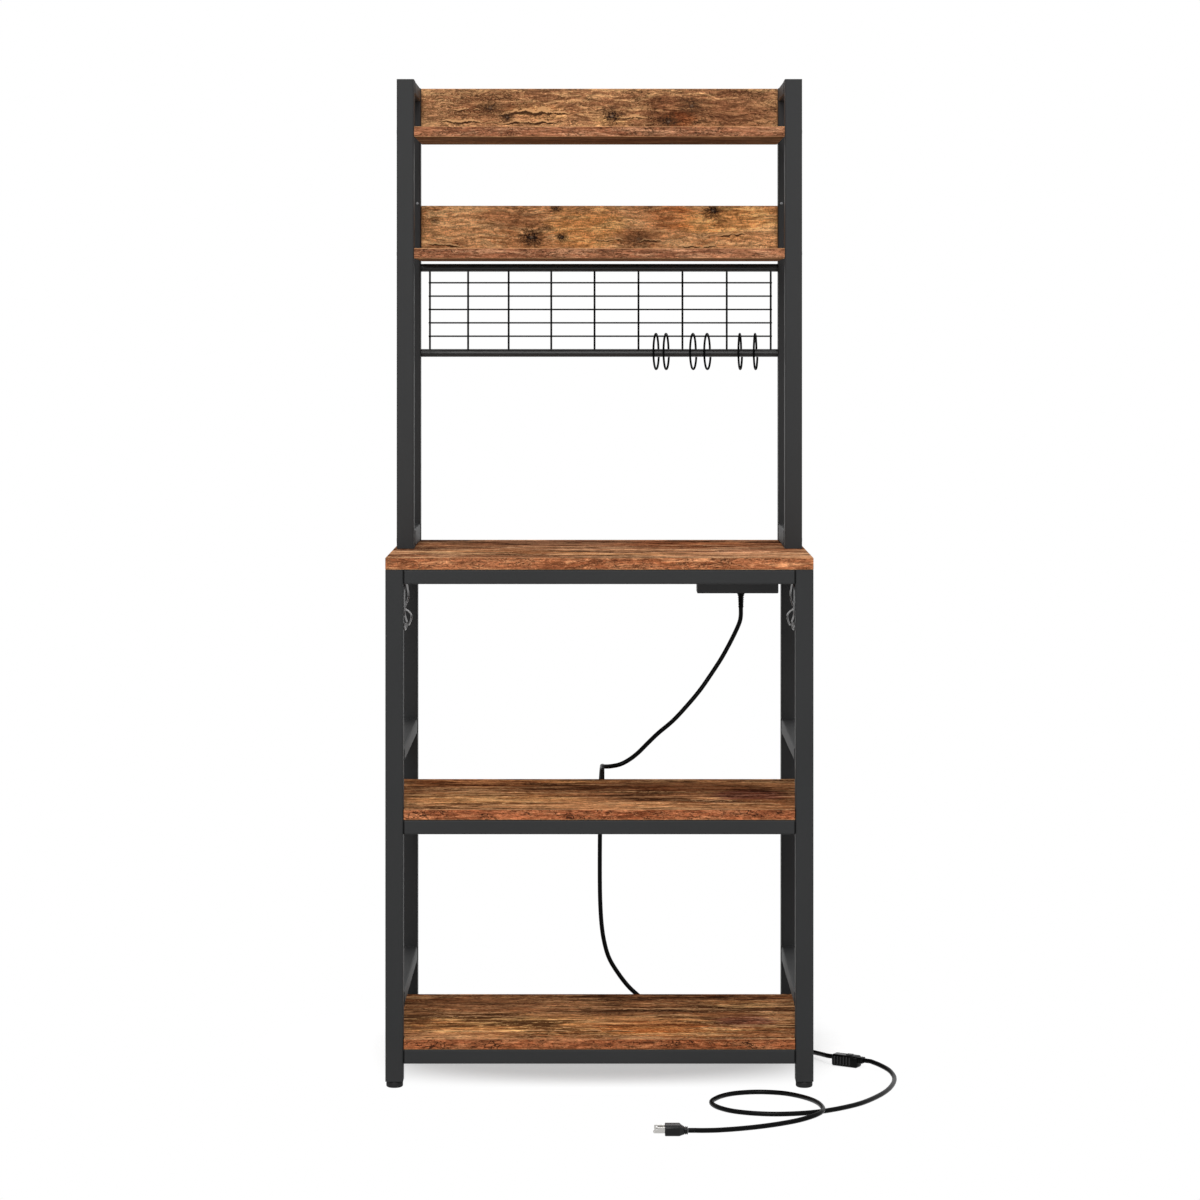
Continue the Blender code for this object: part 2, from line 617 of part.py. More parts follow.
def build_power_block(plastic, face_plastic, rubber):
    start = BLOCK_END - BLOCK_LENGTH
    front = BLOCK_REAR - BLOCK_DEPTH
    block = box_object("power_block", (start, front, BLOCK_UNDER), (BLOCK_END, BLOCK_REAR, BLOCK_TOP), plastic)
    add_bevel(block, BLOCK_EDGE, 2)
    wall = BLOCK_WALL
    hollow = box_object(
        "power_block_hollow", (start + wall, front - CUT_OVERRUN, BLOCK_UNDER + wall),
        (BLOCK_END - wall, BLOCK_REAR - wall, BLOCK_TOP - wall), None,
    )
    add_boolean(block, hollow, "DIFFERENCE")
    face_rear = front - GAP
    face_front = face_rear - FACE_THICK
    face_low = (start, face_front, BLOCK_UNDER)
    face = box_object("power_face", face_low, (BLOCK_END, face_rear, BLOCK_TOP), face_plastic)
    holes = bmesh.new()
    turn = Matrix.Rotation(QUARTER, 4, "X")
    middle_y = (face_front + face_rear) / 2
    for side in (-1, 1):
        x = (start + BLOCK_END + side * OUTLET_PITCH) / 2
        z = (BLOCK_UNDER + BLOCK_TOP) / 2
        for slot in (-1, 1):
            slot_x = x + slot * SLOT_PITCH / 2
            low = (slot_x - SLOT_WIDTH / 2, face_front - CUT_OVERRUN, z + SLOT_RISE - SLOT_HEIGHT / 2)
            high = (slot_x + SLOT_WIDTH / 2, face_rear + CUT_OVERRUN, z + SLOT_RISE + SLOT_HEIGHT / 2)
            add_box(holes, low, high)
        middle = Vector((x, middle_y, z - EARTH_DROP))
        add_rod(holes, middle, FACE_THICK + 2 * CUT_OVERRUN, EARTH_RADIUS, ROUND_STEPS // 2, turn)
    add_boolean(face, mesh_object("power_face_holes", holes, None), "DIFFERENCE")
    gland_profile = (
        (0, 0), (GLAND_TIP, 0), (GLAND_ROOT, GLAND_LENGTH - GLAND_COLLAR_THICK),
        (GLAND_COLLAR, GLAND_LENGTH - GLAND_COLLAR_THICK), (GLAND_COLLAR, GLAND_LENGTH), (0, GLAND_LENGTH),
    )
    gland = turned_object("cord_gland", gland_profile, rubber)
    gland.location = (BLOCK_END - GLAND_FROM_END, GLAND_Y, BLOCK_UNDER - GAP - GLAND_LENGTH)


def build_clip(plastic):
    saddle = MIDDLE_TOP + CLIP_RISE
    plate_front = SHELF_REAR + GAP
    plate_rear = plate_front + CLIP_THICK
    clip = box_object(
        "cord_clip", (CLIP_X - CLIP_WIDTH / 2, plate_front, MIDDLE_TOP - CLIP_DROP),
        (CLIP_X + CLIP_WIDTH / 2, plate_rear, saddle), plastic,
    )
    rest = box_object(
        "cord_clip_saddle", (CLIP_X - CLIP_WIDTH / 2, plate_rear - CLIP_SADDLE, saddle - CLIP_THICK),
        (CLIP_X + CLIP_WIDTH / 2, plate_rear - CLIP_THICK / 2, saddle), None,
    )
    add_boolean(clip, rest, "UNION")


# Inline box and plug, each hung on an empty that carries its place on the floor


def add_stand(name, place, heading):
    stand = add_object(name, None, None)
    stand.location = (*place, GAP)
    stand.rotation_euler = (0, 0, heading)
    return stand


def build_inline_box(plastic, button_plastic):
    stand = add_stand("inline_box_stand", BOX_PLACE, BOX_HEADING)
    body = box_object("inline_box", (0, -BOX_WIDTH / 2, 0), (BOX_LENGTH, BOX_WIDTH / 2, BOX_HEIGHT), plastic)
    add_bevel(body, BOX_EDGE, 2)
    neck_level = BOX_CORD_LEVEL - GAP
    neck = box_object(
        "inline_box_neck", (BOX_LENGTH - 2 * BOX_EDGE, -NECK_WIDTH / 2, neck_level - NECK_HEIGHT / 2),
        (BOX_LENGTH + NECK_LENGTH, NECK_WIDTH / 2, neck_level + NECK_HEIGHT / 2), None,
    )
    add_bevel(neck, NECK_EDGE, 2)
    add_boolean(body, neck, "UNION")
    place = Vector((BOX_LENGTH - BUTTON_BACK, 0, BOX_HEIGHT))
    half = Vector((BUTTON_LENGTH / 2, BUTTON_WIDTH / 2, 0))
    room = Vector((GAP, GAP, 0))
    floor = Vector((0, 0, BUTTON_DEEP + BUTTON_TRAVEL + GAP))
    above = Vector((0, 0, CUT_OVERRUN))
    pocket = box_object("inline_box_pocket", place - half - room - floor, place + half + room + above, None)
    add_boolean(body, pocket, "DIFFERENCE")
    low = -half - Vector((0, 0, BUTTON_DEEP))
    button = box_object("reset_button", low, half + Vector((0, 0, BUTTON_PROUD)), button_plastic)
    button.location = place
    for item in (body, neck, pocket, button):
        item.parent = stand


def contact_pieces(name, room, material):
    # carrier plate, two blades and the earth pin; room grows them all round, as the hollow in the plug
    face = PLUG_LENGTH
    carrier_x = face - CARRIER_INSET - CARRIER_THICK
    carrier_z = (BLADE_LEVEL + PIN_LEVEL) / 2
    low = Vector((carrier_x, -CARRIER_WIDTH / 2, carrier_z - CARRIER_HEIGHT / 2))
    high = Vector((carrier_x + CARRIER_THICK, CARRIER_WIDTH / 2, carrier_z + CARRIER_HEIGHT / 2))
    grow = Vector((room, room, room))
    carrier = box_object(name, low - grow, high + grow, material)
    blades = bmesh.new()
    for side in (-1, 1):
        y = side * BLADE_PITCH / 2
        low = Vector((carrier_x + CARRIER_THICK / 2, y - BLADE_THICK / 2, BLADE_LEVEL - BLADE_HEIGHT / 2))
        high = Vector((face + BLADE_LENGTH, y + BLADE_THICK / 2, BLADE_LEVEL + BLADE_HEIGHT / 2))
        add_box(blades, low - grow, high + grow)
    pin_start = carrier_x + CARRIER_THICK / 2
    pin_end = face + PIN_LENGTH + room
    middle = Vector(((pin_start + pin_end) / 2, 0, PIN_LEVEL))
    turn = Matrix.Rotation(QUARTER, 4, "Y")
    add_rod(blades, middle, pin_end - pin_start, PIN_RADIUS + room, ROUND_STEPS // 2, turn)
    blades = mesh_object(f"{name}_prongs", blades, None)
    add_boolean(carrier, blades, "UNION")
    return carrier, blades


def build_plug(rubber, nickel):
    stand = add_stand("plug_stand", PLUG_PLACE, PLUG_HEADING)
    shoulder = PLUG_LENGTH - PLUG_BARREL
    tail_low = PLUG_CORD_LEVEL - GAP - TAIL_HEIGHT / 2
    sections = (
        (0, TAIL_WIDTH, TAIL_HEIGHT), (PLUG_TAIL, TAIL_WIDTH, TAIL_HEIGHT),
        (shoulder, PLUG_WIDTH, PLUG_HEIGHT), (PLUG_LENGTH, PLUG_WIDTH, PLUG_HEIGHT),
    )
    bm = bmesh.new()
    loops = []
    for x, width, height in sections:
        low = tail_low * (PLUG_HEIGHT - height) / (PLUG_HEIGHT - TAIL_HEIGHT)
        corners = ((-width / 2, low), (width / 2, low), (width / 2, low + height), (-width / 2, low + height))
        loops.append([bm.verts.new((x, y, z)) for y, z in corners])
    for first, second in zip(loops, loops[1:]):
        bridge(bm, first, second)
    bm.faces.new(loops[0])
    bm.faces.new(loops[-1])
    body = mesh_object("plug_body", bm, rubber)
    add_bevel(body, PLUG_EDGE, 2)
    contacts, prongs = contact_pieces("plug_contacts", 0, nickel)
    hollow, hollow_prongs = contact_pieces("plug_body_hollow", GAP, None)
    add_boolean(body, hollow, "DIFFERENCE")
    for item in (body, contacts, prongs, hollow, hollow_prongs):
        item.parent = stand


# Cord


def beside_box(along):
    x = BOX_PLACE[0] + along * math.cos(BOX_HEADING)
    return Vector((x, BOX_PLACE[1] + along * math.sin(BOX_HEADING), BOX_CORD_LEVEL))


def behind_plug(along):
    x = PLUG_PLACE[0] - along * math.cos(PLUG_HEADING)
    return Vector((x, PLUG_PLACE[1] - along * math.sin(PLUG_HEADING), PLUG_CORD_LEVEL))


def build_cord(name, start, start_lead, route, end_lead, end, black):
    middle = thin_out(curve_through((start_lead, *route, end_lead), 6), CORD_TURN, CORD_SPAN)
    wire_object(name, (start, *middle, end), CORD_RADIUS, 2, black)


def build_cords(black):
    gland_end = Vector((BLOCK_END - GLAND_FROM_END, GLAND_Y, BLOCK_UNDER - 2 * GAP - GLAND_LENGTH))
    gland_lead = gland_end - Vector((0, 0, CORD_LEAD))
    box_in = beside_box(-GAP)
    box_in_lead = beside_box(-GAP - CORD_LEAD)
    box_far = BOX_LENGTH + NECK_LENGTH + GAP
    box_out = beside_box(box_far)
    box_out_lead = beside_box(box_far + CORD_LEAD)
    plug_in = behind_plug(GAP)
    plug_in_lead = behind_plug(GAP + CORD_LEAD)
    build_cord("power_cord_upper", gland_end, gland_lead, UPPER_ROUTE, box_in_lead, box_in, black)
    build_cord("power_cord_lower", box_out, box_out_lead, LOWER_ROUTE, plug_in_lead, plug_in, black)


def main():
    clear_scene()
    steel = make_material("frame_steel", (0.045, 0.045, 0.047), 0.55, 0.3)
    grey_wire = make_material("scroll_wire", (0.12, 0.12, 0.12), 0.5, 0.4)
    black_wire = make_material("hook_wire", (0.02, 0.02, 0.02), 0.45, 0.4)
    wood = make_material("rustic_board", (0.28, 0.13, 0.06), 0.6, 0)
    rubber = make_material("black_rubber", (0.02, 0.02, 0.02), 0.7, 0)
    plastic = make_material("black_plastic", (0.02, 0.02, 0.022), 0.5, 0)
    face_plastic = make_material("face_plastic", (0.03, 0.03, 0.032), 0.4, 0)
    cord_black = make_material("cord_black", (0.015, 0.015, 0.015), 0.35, 0)
    nickel = make_material("nickel", (0.6, 0.6, 0.58), 0.25, 1)
    build_legs_and_feet(steel, rubber)
    build_rails(steel)
    build_scrolls(grey_wire)
    build_shelves(wood)
    build_hutch_frame(steel)
    build_hutch_shelves(wood)
    build_grid(steel, black_wire)
    build_hooks(black_wire)
    build_power_block(plastic, face_plastic, rubber)
    build_clip(plastic)
    build_inline_box(plastic, face_plastic)
    build_plug(rubber, nickel)
    build_cords(cord_black)


main()
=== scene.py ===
import json
import math

import bpy
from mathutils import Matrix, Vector


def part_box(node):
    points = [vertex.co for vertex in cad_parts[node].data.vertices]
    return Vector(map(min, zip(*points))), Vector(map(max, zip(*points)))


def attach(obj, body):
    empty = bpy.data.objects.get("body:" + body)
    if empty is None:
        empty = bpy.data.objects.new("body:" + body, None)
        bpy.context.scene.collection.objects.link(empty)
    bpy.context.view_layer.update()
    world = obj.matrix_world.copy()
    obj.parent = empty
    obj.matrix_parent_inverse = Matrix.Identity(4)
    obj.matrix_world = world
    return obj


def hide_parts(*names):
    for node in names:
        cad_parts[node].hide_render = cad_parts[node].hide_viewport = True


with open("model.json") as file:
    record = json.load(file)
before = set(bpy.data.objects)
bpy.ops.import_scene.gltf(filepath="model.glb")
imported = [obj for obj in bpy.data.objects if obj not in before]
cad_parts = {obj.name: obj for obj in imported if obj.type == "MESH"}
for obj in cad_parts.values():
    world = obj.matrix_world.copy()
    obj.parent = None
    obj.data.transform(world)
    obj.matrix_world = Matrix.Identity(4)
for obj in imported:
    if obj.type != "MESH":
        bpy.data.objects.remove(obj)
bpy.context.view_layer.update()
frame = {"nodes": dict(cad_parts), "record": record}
print("rack: solids loaded")

quarterTurn = math.pi / 2


# small helpers

def clearSelection():
    if bpy.context.mode != "OBJECT":
        bpy.ops.object.mode_set(mode="OBJECT")
    bpy.ops.object.select_all(action="DESELECT")


def pick(*pieces):
    clearSelection()
    for piece in pieces:
        piece.select_set(True)
    bpy.context.view_layer.objects.active = pieces[0]


def turnAndPlace(piece, place, turn=(0, 0, 0)):
    # the piece's place and turn go into its mesh
    piece.location = place
    piece.rotation_euler = turn
    pick(piece)
    bpy.ops.object.transform_apply(location=True, rotation=True, scale=True)
    return piece


def applyAll(piece):
    pick(piece)
    for modifier in list(piece.modifiers):
        bpy.ops.object.modifier_apply(modifier=modifier.name)


def joined(pieces):
    pick(*pieces)
    bpy.ops.object.join()
    return pieces[0]


def copiesOf(first, spots):
    # a copy at each spot, which is a place or a place and a turn, and the first one goes
    made = []
    for spot in spots:
        pick(first)
        bpy.ops.object.duplicate()
        made.append(turnAndPlace(bpy.context.object, *spot))
    bpy.data.objects.remove(first)
    return made


def startEdit(piece):
    pick(piece)
    bpy.ops.object.mode_set(mode="EDIT")
    bpy.ops.mesh.select_all(action="SELECT")


def endEdit(outward=False):
    if outward:
        bpy.ops.mesh.select_all(action="SELECT")
        bpy.ops.mesh.normals_make_consistent(inside=False)
    bpy.ops.object.mode_set(mode="OBJECT")


def selectWhere(piece, kind, test):
    # edit mode, with the faces or points selected that pass the test
    startEdit(piece)
    bpy.ops.mesh.select_mode(type=kind)
    bpy.ops.mesh.select_all(action="DESELECT")
    endEdit()
    for part in piece.data.polygons if kind == "FACE" else piece.data.vertices:
        part.select = bool(test(part))
    bpy.ops.object.mode_set(mode="EDIT")


def smoothAngle(piece, degrees):
    pick(piece)
    bpy.ops.object.shade_smooth_by_angle(angle=math.radians(degrees))


def softenEdges(piece, width, segments=2, degrees=40):
    bevel = piece.modifiers.new("softEdge", "BEVEL")
    bevel.width = width
    bevel.segments = segments
    bevel.limit_method = "ANGLE"
    bevel.angle_limit = math.radians(degrees)
    applyAll(piece)


def addBlock(low, high):
    # a cube primitive from its lowest to its highest corner
    clearSelection()
    bpy.ops.mesh.primitive_cube_add(size=1)
    block = bpy.context.object
    block.scale = [b - a for a, b in zip(low, high)]
    return turnAndPlace(block, [(a + b) / 2 for a, b in zip(low, high)])


def extrudeTo(move, factors, middle):
    bpy.ops.mesh.extrude_region_move(TRANSFORM_OT_translate={"value": move})
    bpy.ops.transform.resize(value=factors, center_override=middle)


def addTurned(profile, sides, place=(0, 0, 0), turn=(0, 0, 0)):
    # a disc, extruded and resized from ring to ring: profile is (radius, height)
    clearSelection()
    radius, height = profile[0]
    bpy.ops.mesh.primitive_circle_add(vertices=sides, radius=radius, fill_type="NGON")
    turned = turnAndPlace(bpy.context.object, (0, 0, height))
    startEdit(turned)
    for nextRadius, nextHeight in profile[1:]:
        factor = nextRadius / radius
        extrudeTo((0, 0, nextHeight - height), (factor, factor, 1), (0, 0, nextHeight))
        radius, height = nextRadius, nextHeight
    endEdit(True)
    return turnAndPlace(turned, place, turn)


def addStepped(stations, corner, segments=3, place=(0, 0, 0), turn=(0, 0, 0)):
    # a plane with rounded corners, extruded and resized from station to station along X:
    # each station is (along, width, height, level of its middle)
    clearSelection()
    along, width, height, level = stations[0]
    bpy.ops.mesh.primitive_plane_add(size=1)
    stepped = bpy.context.object
    stepped.scale = (height, width, 1)
    turnAndPlace(stepped, (along, 0, level), (0, quarterTurn, 0))
    startEdit(stepped)
    bpy.ops.mesh.bevel(offset=corner, segments=segments, affect="VERTICES")
    bpy.ops.mesh.select_all(action="SELECT")
    for nextAlong, nextWidth, nextHeight, nextLevel in stations[1:]:
        factors = (1, nextWidth / width, nextHeight / height)
        extrudeTo((nextAlong - along, 0, nextLevel - level), factors, (nextAlong, 0, nextLevel))
        along, width, height, level = nextAlong, nextWidth, nextHeight, nextLevel
    endEdit(True)
    return turnAndPlace(stepped, place, turn)


def cutAcross(piece, axis, place):
    startEdit(piece)
    at, across = [0, 0, 0], [0, 0, 0]
    at[axis], across[axis] = place, 1
    bpy.ops.mesh.bisect(plane_co=at, plane_no=across)
    endEdit()


def addGroove(piece, axis, low, high, depth):
    # two cuts across the axis, and the band between them pushed in
    cutAcross(piece, axis, low)
    cutAcross(piece, axis, high)
    selectWhere(piece, "FACE", lambda face: low < face.center[axis] < high and abs(face.normal[axis]) < 0.5)
    bpy.ops.mesh.extrude_region_shrink_fatten(TRANSFORM_OT_shrink_fatten={"value": -depth})
    endEdit()


def cutAway(piece, cutter):
    cut = piece.modifiers.new("cut", "BOOLEAN")
    cut.operation = "DIFFERENCE"
    cut.solver = "EXACT"
    cut.object = cutter
    applyAll(piece)
    bpy.data.objects.remove(cutter)


def runThrough(points, steps):
    # a smooth run through every point of the list
    points = [Vector(point) for point in points]
    run = []
    for before, start, end, after in zip([points[0], *points], points, points[1:], [*points[2:], points[-1]]):
        for step in range(steps):
            t = step / steps
            square = (2 * before - 5 * start + 4 * end - after) * t ** 2
            cube = (3 * start - before - 3 * end + after) * t ** 3
            run.append((2 * start + (end - before) * t + square + cube) / 2)
    return [*run, points[-1]]


def addRun(name, run, radius, roundness):
    # a round bar along a run of points, left as a curve
    clearSelection()
    bpy.ops.curve.primitive_nurbs_path_add(location=(0, 0, 0))
    wire = bpy.context.object
    wire.name = wire.data.name = name
    wire.data.splines.clear()
    spline = wire.data.splines.new("POLY")
    spline.points.add(len(run) - 1)
    for place, point in zip(spline.points, run):
        place.co = (*point, 1)
    wire.data.bevel_depth = radius
    wire.data.bevel_resolution = roundness
    wire.data.use_fill_caps = True
    return wire


def asMesh(wire, endRound):
    # the curve becomes a mesh with rounded ends
    pick(wire)
    bpy.ops.object.convert(target="MESH")
    piece = bpy.context.object
    startEdit(piece)
    bpy.ops.mesh.remove_doubles(threshold=0.00001)
    endEdit(True)
    softenEdges(piece, endRound, 2, 60)
    smoothAngle(piece, 50)
    return piece


def finishPiece(piece, name, finish, slot, *stands, body="rack"):
    piece.name = piece.data.name = name
    piece.data.materials.clear()
    piece.data.materials.append(finishes[finish])
    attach(piece, body)
    if stands:
        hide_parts(*stands)


# camera at the photograph's angle: level, at eye height, framed low

cameraSettings = {"place": (0, -4.9, 1.0623), "lens": 100.67, "sensor": 36, "shiftX": 0.0005, "shiftY": -0.225}


def setUpCamera(s):
    clearSelection()
    bpy.ops.object.camera_add(location=s["place"], rotation=(quarterTurn, 0, 0))
    camera = bpy.context.object
    camera.name = "camera"
    camera.data.sensor_width = s["sensor"]
    camera.data.lens = s["lens"]
    camera.data.shift_x = s["shiftX"]
    camera.data.shift_y = s["shiftY"]
    bpy.context.scene.camera = camera


setUpCamera(cameraSettings)


# nodes go into the tree that was started last

bench = {}


def feed(node, inputs):
    for socket, value in inputs.items():
        if isinstance(value, bpy.types.NodeSocket):
            bench["tree"].links.new(value, node.inputs[socket])
        else:
            node.inputs[socket].default_value = value


def addNode(kind, inputs=None, **settings):
    node = bench["tree"].nodes.new("ShaderNode" + kind)
    for key, value in settings.items():
        setattr(node, key, value)
    feed(node, inputs or {})
    return node.outputs


def addGroup(name, inputs):
    return addNode("Group", inputs, node_tree=bpy.data.node_groups[name])


def sums(how, first, second=0, third=0):
    return addNode("Math", {0: first, 1: second, 2: third}, operation=how)[0]


def times(first, second):
    return sums("MULTIPLY", first, second)


def awayFrom(value, middle):
    return sums("ABSOLUTE", sums("SUBTRACT", value, middle))


def swayed(value, change, amount):
    # the value, moved up and down by a noise about its middle
    return sums("MULTIPLY_ADD", sums("SUBTRACT", change, 0.5), amount, value)


def vectors(how, first, second=None):
    inputs = {0: first} if second is None else {0: first, 3 if how == "SCALE" else 1: second}
    return addNode("VectorMath", inputs, operation=how)[1 if how == "LENGTH" else 0]


def axesOf(vector):
    return addNode("SeparateXYZ", {0: vector})


def mixColour(factor, first, second, how="MIX"):
    return addNode("Mix", {0: factor, 6: first, 7: second}, data_type="RGBA", blend_type=how)[2]


def spread(value, low, high, outLow=0, outHigh=1):
    inputs = {"Value": value, "From Min": low, "From Max": high, "To Min": outLow, "To Max": outHigh}
    return addNode("MapRange", inputs, interpolation_type="SMOOTHSTEP")[0]


def stretched(vector, scale, shift=(0, 0, 0)):
    return addNode("Mapping", {"Vector": vector, "Scale": scale, "Location": shift})[0]


def noise(vector, detail=3, rough=0.6, distortion=0, scale=1):
    inputs = {"Vector": vector, "Scale": scale, "Detail": detail, "Roughness": rough, "Distortion": distortion}
    return addNode("TexNoise", inputs)


def noiseAt(vector, scale, shift=(0, 0, 0), **more):
    return noise(stretched(vector, scale, shift), **more)[0]


def layer(vector, name):
    along, across, shift, detail, rough, *ends = grainSettings[name]
    return spread(noiseAt(vector, (along, across, across), shift, detail=detail, rough=rough), *ends)


placeSocket, colourSocket = {"Vector": "Vector"}, {"Color": "Color"}
lookSockets = {**colourSocket, "Roughness": "Float", "Height": "Float"}


def startGroup(name, takes, gives):
    # each socket has its kind, or a number that it starts with
    tree = bench["tree"] = bpy.data.node_groups.new(name, "ShaderNodeTree")
    for way, sockets in (("INPUT", takes), ("OUTPUT", gives)):
        for socket, kind in sockets.items():
            word = kind if isinstance(kind, str) else "Float"
            made = tree.interface.new_socket(socket, in_out=way, socket_type="NodeSocket" + word)
            if word != kind:
                made.default_value = kind
    return tree.nodes.new("NodeGroupInput").outputs


def closeGroup(values):
    feed(bench["tree"].nodes.new("NodeGroupOutput"), values)


# the print's noises: rates along and across, shift, detail and roughness, then the two values that it rises between,
# and what it gives there where that isn't 0 and 1
grainSettings = {
    "tone": (3, 17, (0, 0, 0), 5, 0.62, 0.42, 0.58),
    "smudge": (4.5, 34, (3, 1, 7), 4, 0.6, 0.51, 0.6),
    "streak": (7, 96, (5, 2, 3), 3, 0.6, 0.52, 0.58),
    "golden": (7, 88, (1, 6, 9), 3, 0.6, 0.53, 0.6),
    "thread": (14, 190, (6, 2, 8), 3, 0.7, 0.38, 0.62, 0.7, 1.3),
    "fibre": (34, 480, (0, 0, 0), 3, 0.65, 0.36, 0.64, 0.66, 1.34),
    "speck": (210, 380, (4, 4, 4), 3, 0.75, 0.36, 0.64, 0.78, 1.22),
    "broken": (10, 34, (8, 3, 1), 3, 0.6, 0.47, 0.53),
    "crackled": (13, 46, (3, 7, 5), 3, 0.6, 0.52, 0.6),
}
# inks for the marks in the print, for the painted shade on a board's underside, and for the painted highlight on its
# chamfered edge, which also stands for rubbed wear
inks = {
    "core": (0.014, 0.01, 0.009, 1), "crack": (0.018, 0.009, 0.006, 1), "crackle": (0.022, 0.011, 0.007, 1),
    "spoke": (0.026, 0.014, 0.01, 1), "split": (0.03, 0.014, 0.008, 1), "ring": (0.034, 0.018, 0.011, 1),
    "halo": (0.125, 0.062, 0.028, 1), "eye": (0.22, 0.15, 0.1, 1), "under": (0.075, 0.045, 0.03, 1),
    "edgeWearAndHighlight": (0.46, 0.25, 0.12, 1),
}


def buildGrainGroup():
    takes = {**placeSocket, "Pale": "Color", "Brown": "Color", "Dark": "Color", "Gold": "Color", "Streaks": 0.5,
             "Cracks": 0.5, "Mottle": 0.0, "Length": 1.0, "Across": 1.0, "Crackle": 0.5}
    given = startGroup("rusticGrain", takes, lookSockets)
    rates = addNode("CombineXYZ", {"X": given["Length"], "Y": given["Across"], "Z": given["Across"]})[0]
    place = vectors("MULTIPLY", given["Vector"], rates)
    sway = noise(stretched(place, (9, 22, 22)), detail=2, rough=0.5)[1]
    sway = vectors("SCALE", vectors("SUBTRACT", sway, (0.5, 0.5, 0.5)), 0.016)
    place = vectors("ADD", place, sway)
    dark, gold = given["Dark"], given["Gold"]

    # broad bands from pale to brown, with darker streaks and golden ones along them
    colour = mixColour(layer(place, "tone"), given["Pale"], given["Brown"])
    darkness = sums("MAXIMUM", layer(place, "smudge"), times(layer(place, "streak"), 0.9))
    darkness = times(darkness, given["Streaks"])
    colour = mixColour(darkness, colour, dark)
    colour = mixColour(times(layer(place, "golden"), 0.75), colour, gold)

    # patches without direction, for the boards with a mottled print, and pores
    patch = noiseAt(place, (30, 42, 42), (7, 7, 2), detail=6, rough=0.74, distortion=0.8)
    for ends, amount, ink in (((0.51, 0.62), 0.55, dark), ((0.47, 0.38), 0.5, gold)):
        colour = mixColour(times(times(spread(patch, *ends), given["Mottle"]), amount), colour, ink)
    fibre = layer(place, "fibre")
    shade = times(times(fibre, layer(place, "speck")), layer(place, "thread"))
    pore = noiseAt(place, (75, 300, 300), (9, 5, 2), rough=0.7)
    for ends, ink in (((0.575, 0.625, 0, 0.72), dark), ((0.415, 0.375, 0, 0.6), gold)):
        colour = mixColour(spread(pore, *ends), colour, ink)
    colour = vectors("SCALE", colour, shade)

    # cracks are the contours of a stretched noise, each with a pale lip beside it
    crackPlace = stretched(place, (26, 120, 120), (2, 9, 4))
    lipPlace = vectors("ADD", crackPlace, (0, 0.16, 0.16))
    broken = times(layer(place, "broken"), given["Cracks"])
    for spot, low, high, amount, ink in ((lipPlace, 0.01, 0.036, 0.8, gold),
                                         (crackPlace, 0.014, 0.032, 0.95, inks["crack"])):
        crack = spread(awayFrom(noise(spot, distortion=0.9)[0], 0.5), low, high, 1, 0)
        crack = times(crack, broken)
        colour = mixColour(times(crack, amount), colour, ink)
    height = sums("SUBTRACT", times(fibre, 0.35), crack)

    # short curved cracks between drawn-out cells, in patches
    bend = noise(stretched(place, (60, 110, 110), (4, 2, 6)), detail=2, rough=0.5)[1]
    cellPlace = vectors("ADD", stretched(place, (62, 135, 135)), vectors("SCALE", bend, 1.6))
    edge = addNode("TexVoronoi", {"Vector": cellPlace, "Scale": 1.0}, feature="DISTANCE_TO_EDGE")["Distance"]
    crackle = times(times(layer(place, "crackled"), spread(edge, 0.03, 0.13, 1, 0)), given["Crackle"])
    colour = mixColour(crackle, colour, inks["crackle"])
    closeGroup({"Color": colour, "Roughness": spread(darkness, 0, 1, 0.5, 0.66), "Height": height})


def buildPatchGroup():
    # a lighter or darker part of the print with a ragged edge
    takes = {**placeSocket, **colourSocket, "Tint": "Color", "Centre": "Vector", "Reach": "Vector"}
    given = startGroup("boardPatch", takes, colourSocket)
    away = vectors("DIVIDE", vectors("SUBTRACT", given["Vector"], given["Centre"]), given["Reach"])
    rag = noiseAt(given["Vector"], (11, 70, 70), detail=4, rough=0.65)
    mask = spread(swayed(vectors("LENGTH", away), rag, 2.2), 0.55, 1.1, 1, 0)
    tinted = vectors("MULTIPLY", given["Color"], given["Tint"])
    closeGroup({"Color": mixColour(mask, given["Color"], tinted)})


def buildKnotGroup():
    # a dark core with an eye, rings and a halo round it, and cracks that run outwards
    takes = {**placeSocket, **colourSocket, "Centre": "Vector", "Size": 0.01, "Depth": 1.0}
    given = startGroup("boardKnot", takes, {**colourSocket, "Mask": "Float"})
    away = vectors("MULTIPLY", vectors("SUBTRACT", given["Vector"], given["Centre"]), (0.8, 0.3, 1.1))
    far = sums("DIVIDE", vectors("LENGTH", away), given["Size"])
    ragged = swayed(far, noiseAt(given["Vector"], (190, 150, 300), detail=5, rough=0.75), 3.4)
    halo = times(spread(ragged, 0.35, 1, 0.7, 0), given["Depth"])
    core = times(spread(ragged, 0.2, 0.42, 0.95, 0), given["Depth"])
    eye = times(spread(far, 0.05, 0.16, 0.7, 0), given["Depth"])
    ring = times(spread(sums("SINE", times(ragged, 11)), 0.1, 0.9), halo)
    heading = vectors("SCALE", vectors("NORMALIZE", away), 2.6)
    heading = vectors("ADD", heading, stretched(given["Centre"], (50, 1, 50)))
    heading = vectors("ADD", heading, stretched(given["Vector"], (36, 1, 60)))
    spoke = spread(awayFrom(noise(heading)[0], 0.5), 0.008, 0.04, 1, 0)
    spoke = times(times(spoke, spread(far, 0.55, 1.25, 1, 0)), given["Depth"])
    colour = given["Color"]
    for mask, ink in ((halo, "halo"), (times(ring, 0.7), "ring"), (times(spoke, 0.9), "spoke"), (core, "core"),
                      (eye, "eye")):
        colour = mixColour(mask, colour, inks[ink])
    closeGroup({"Color": colour, "Mask": halo})


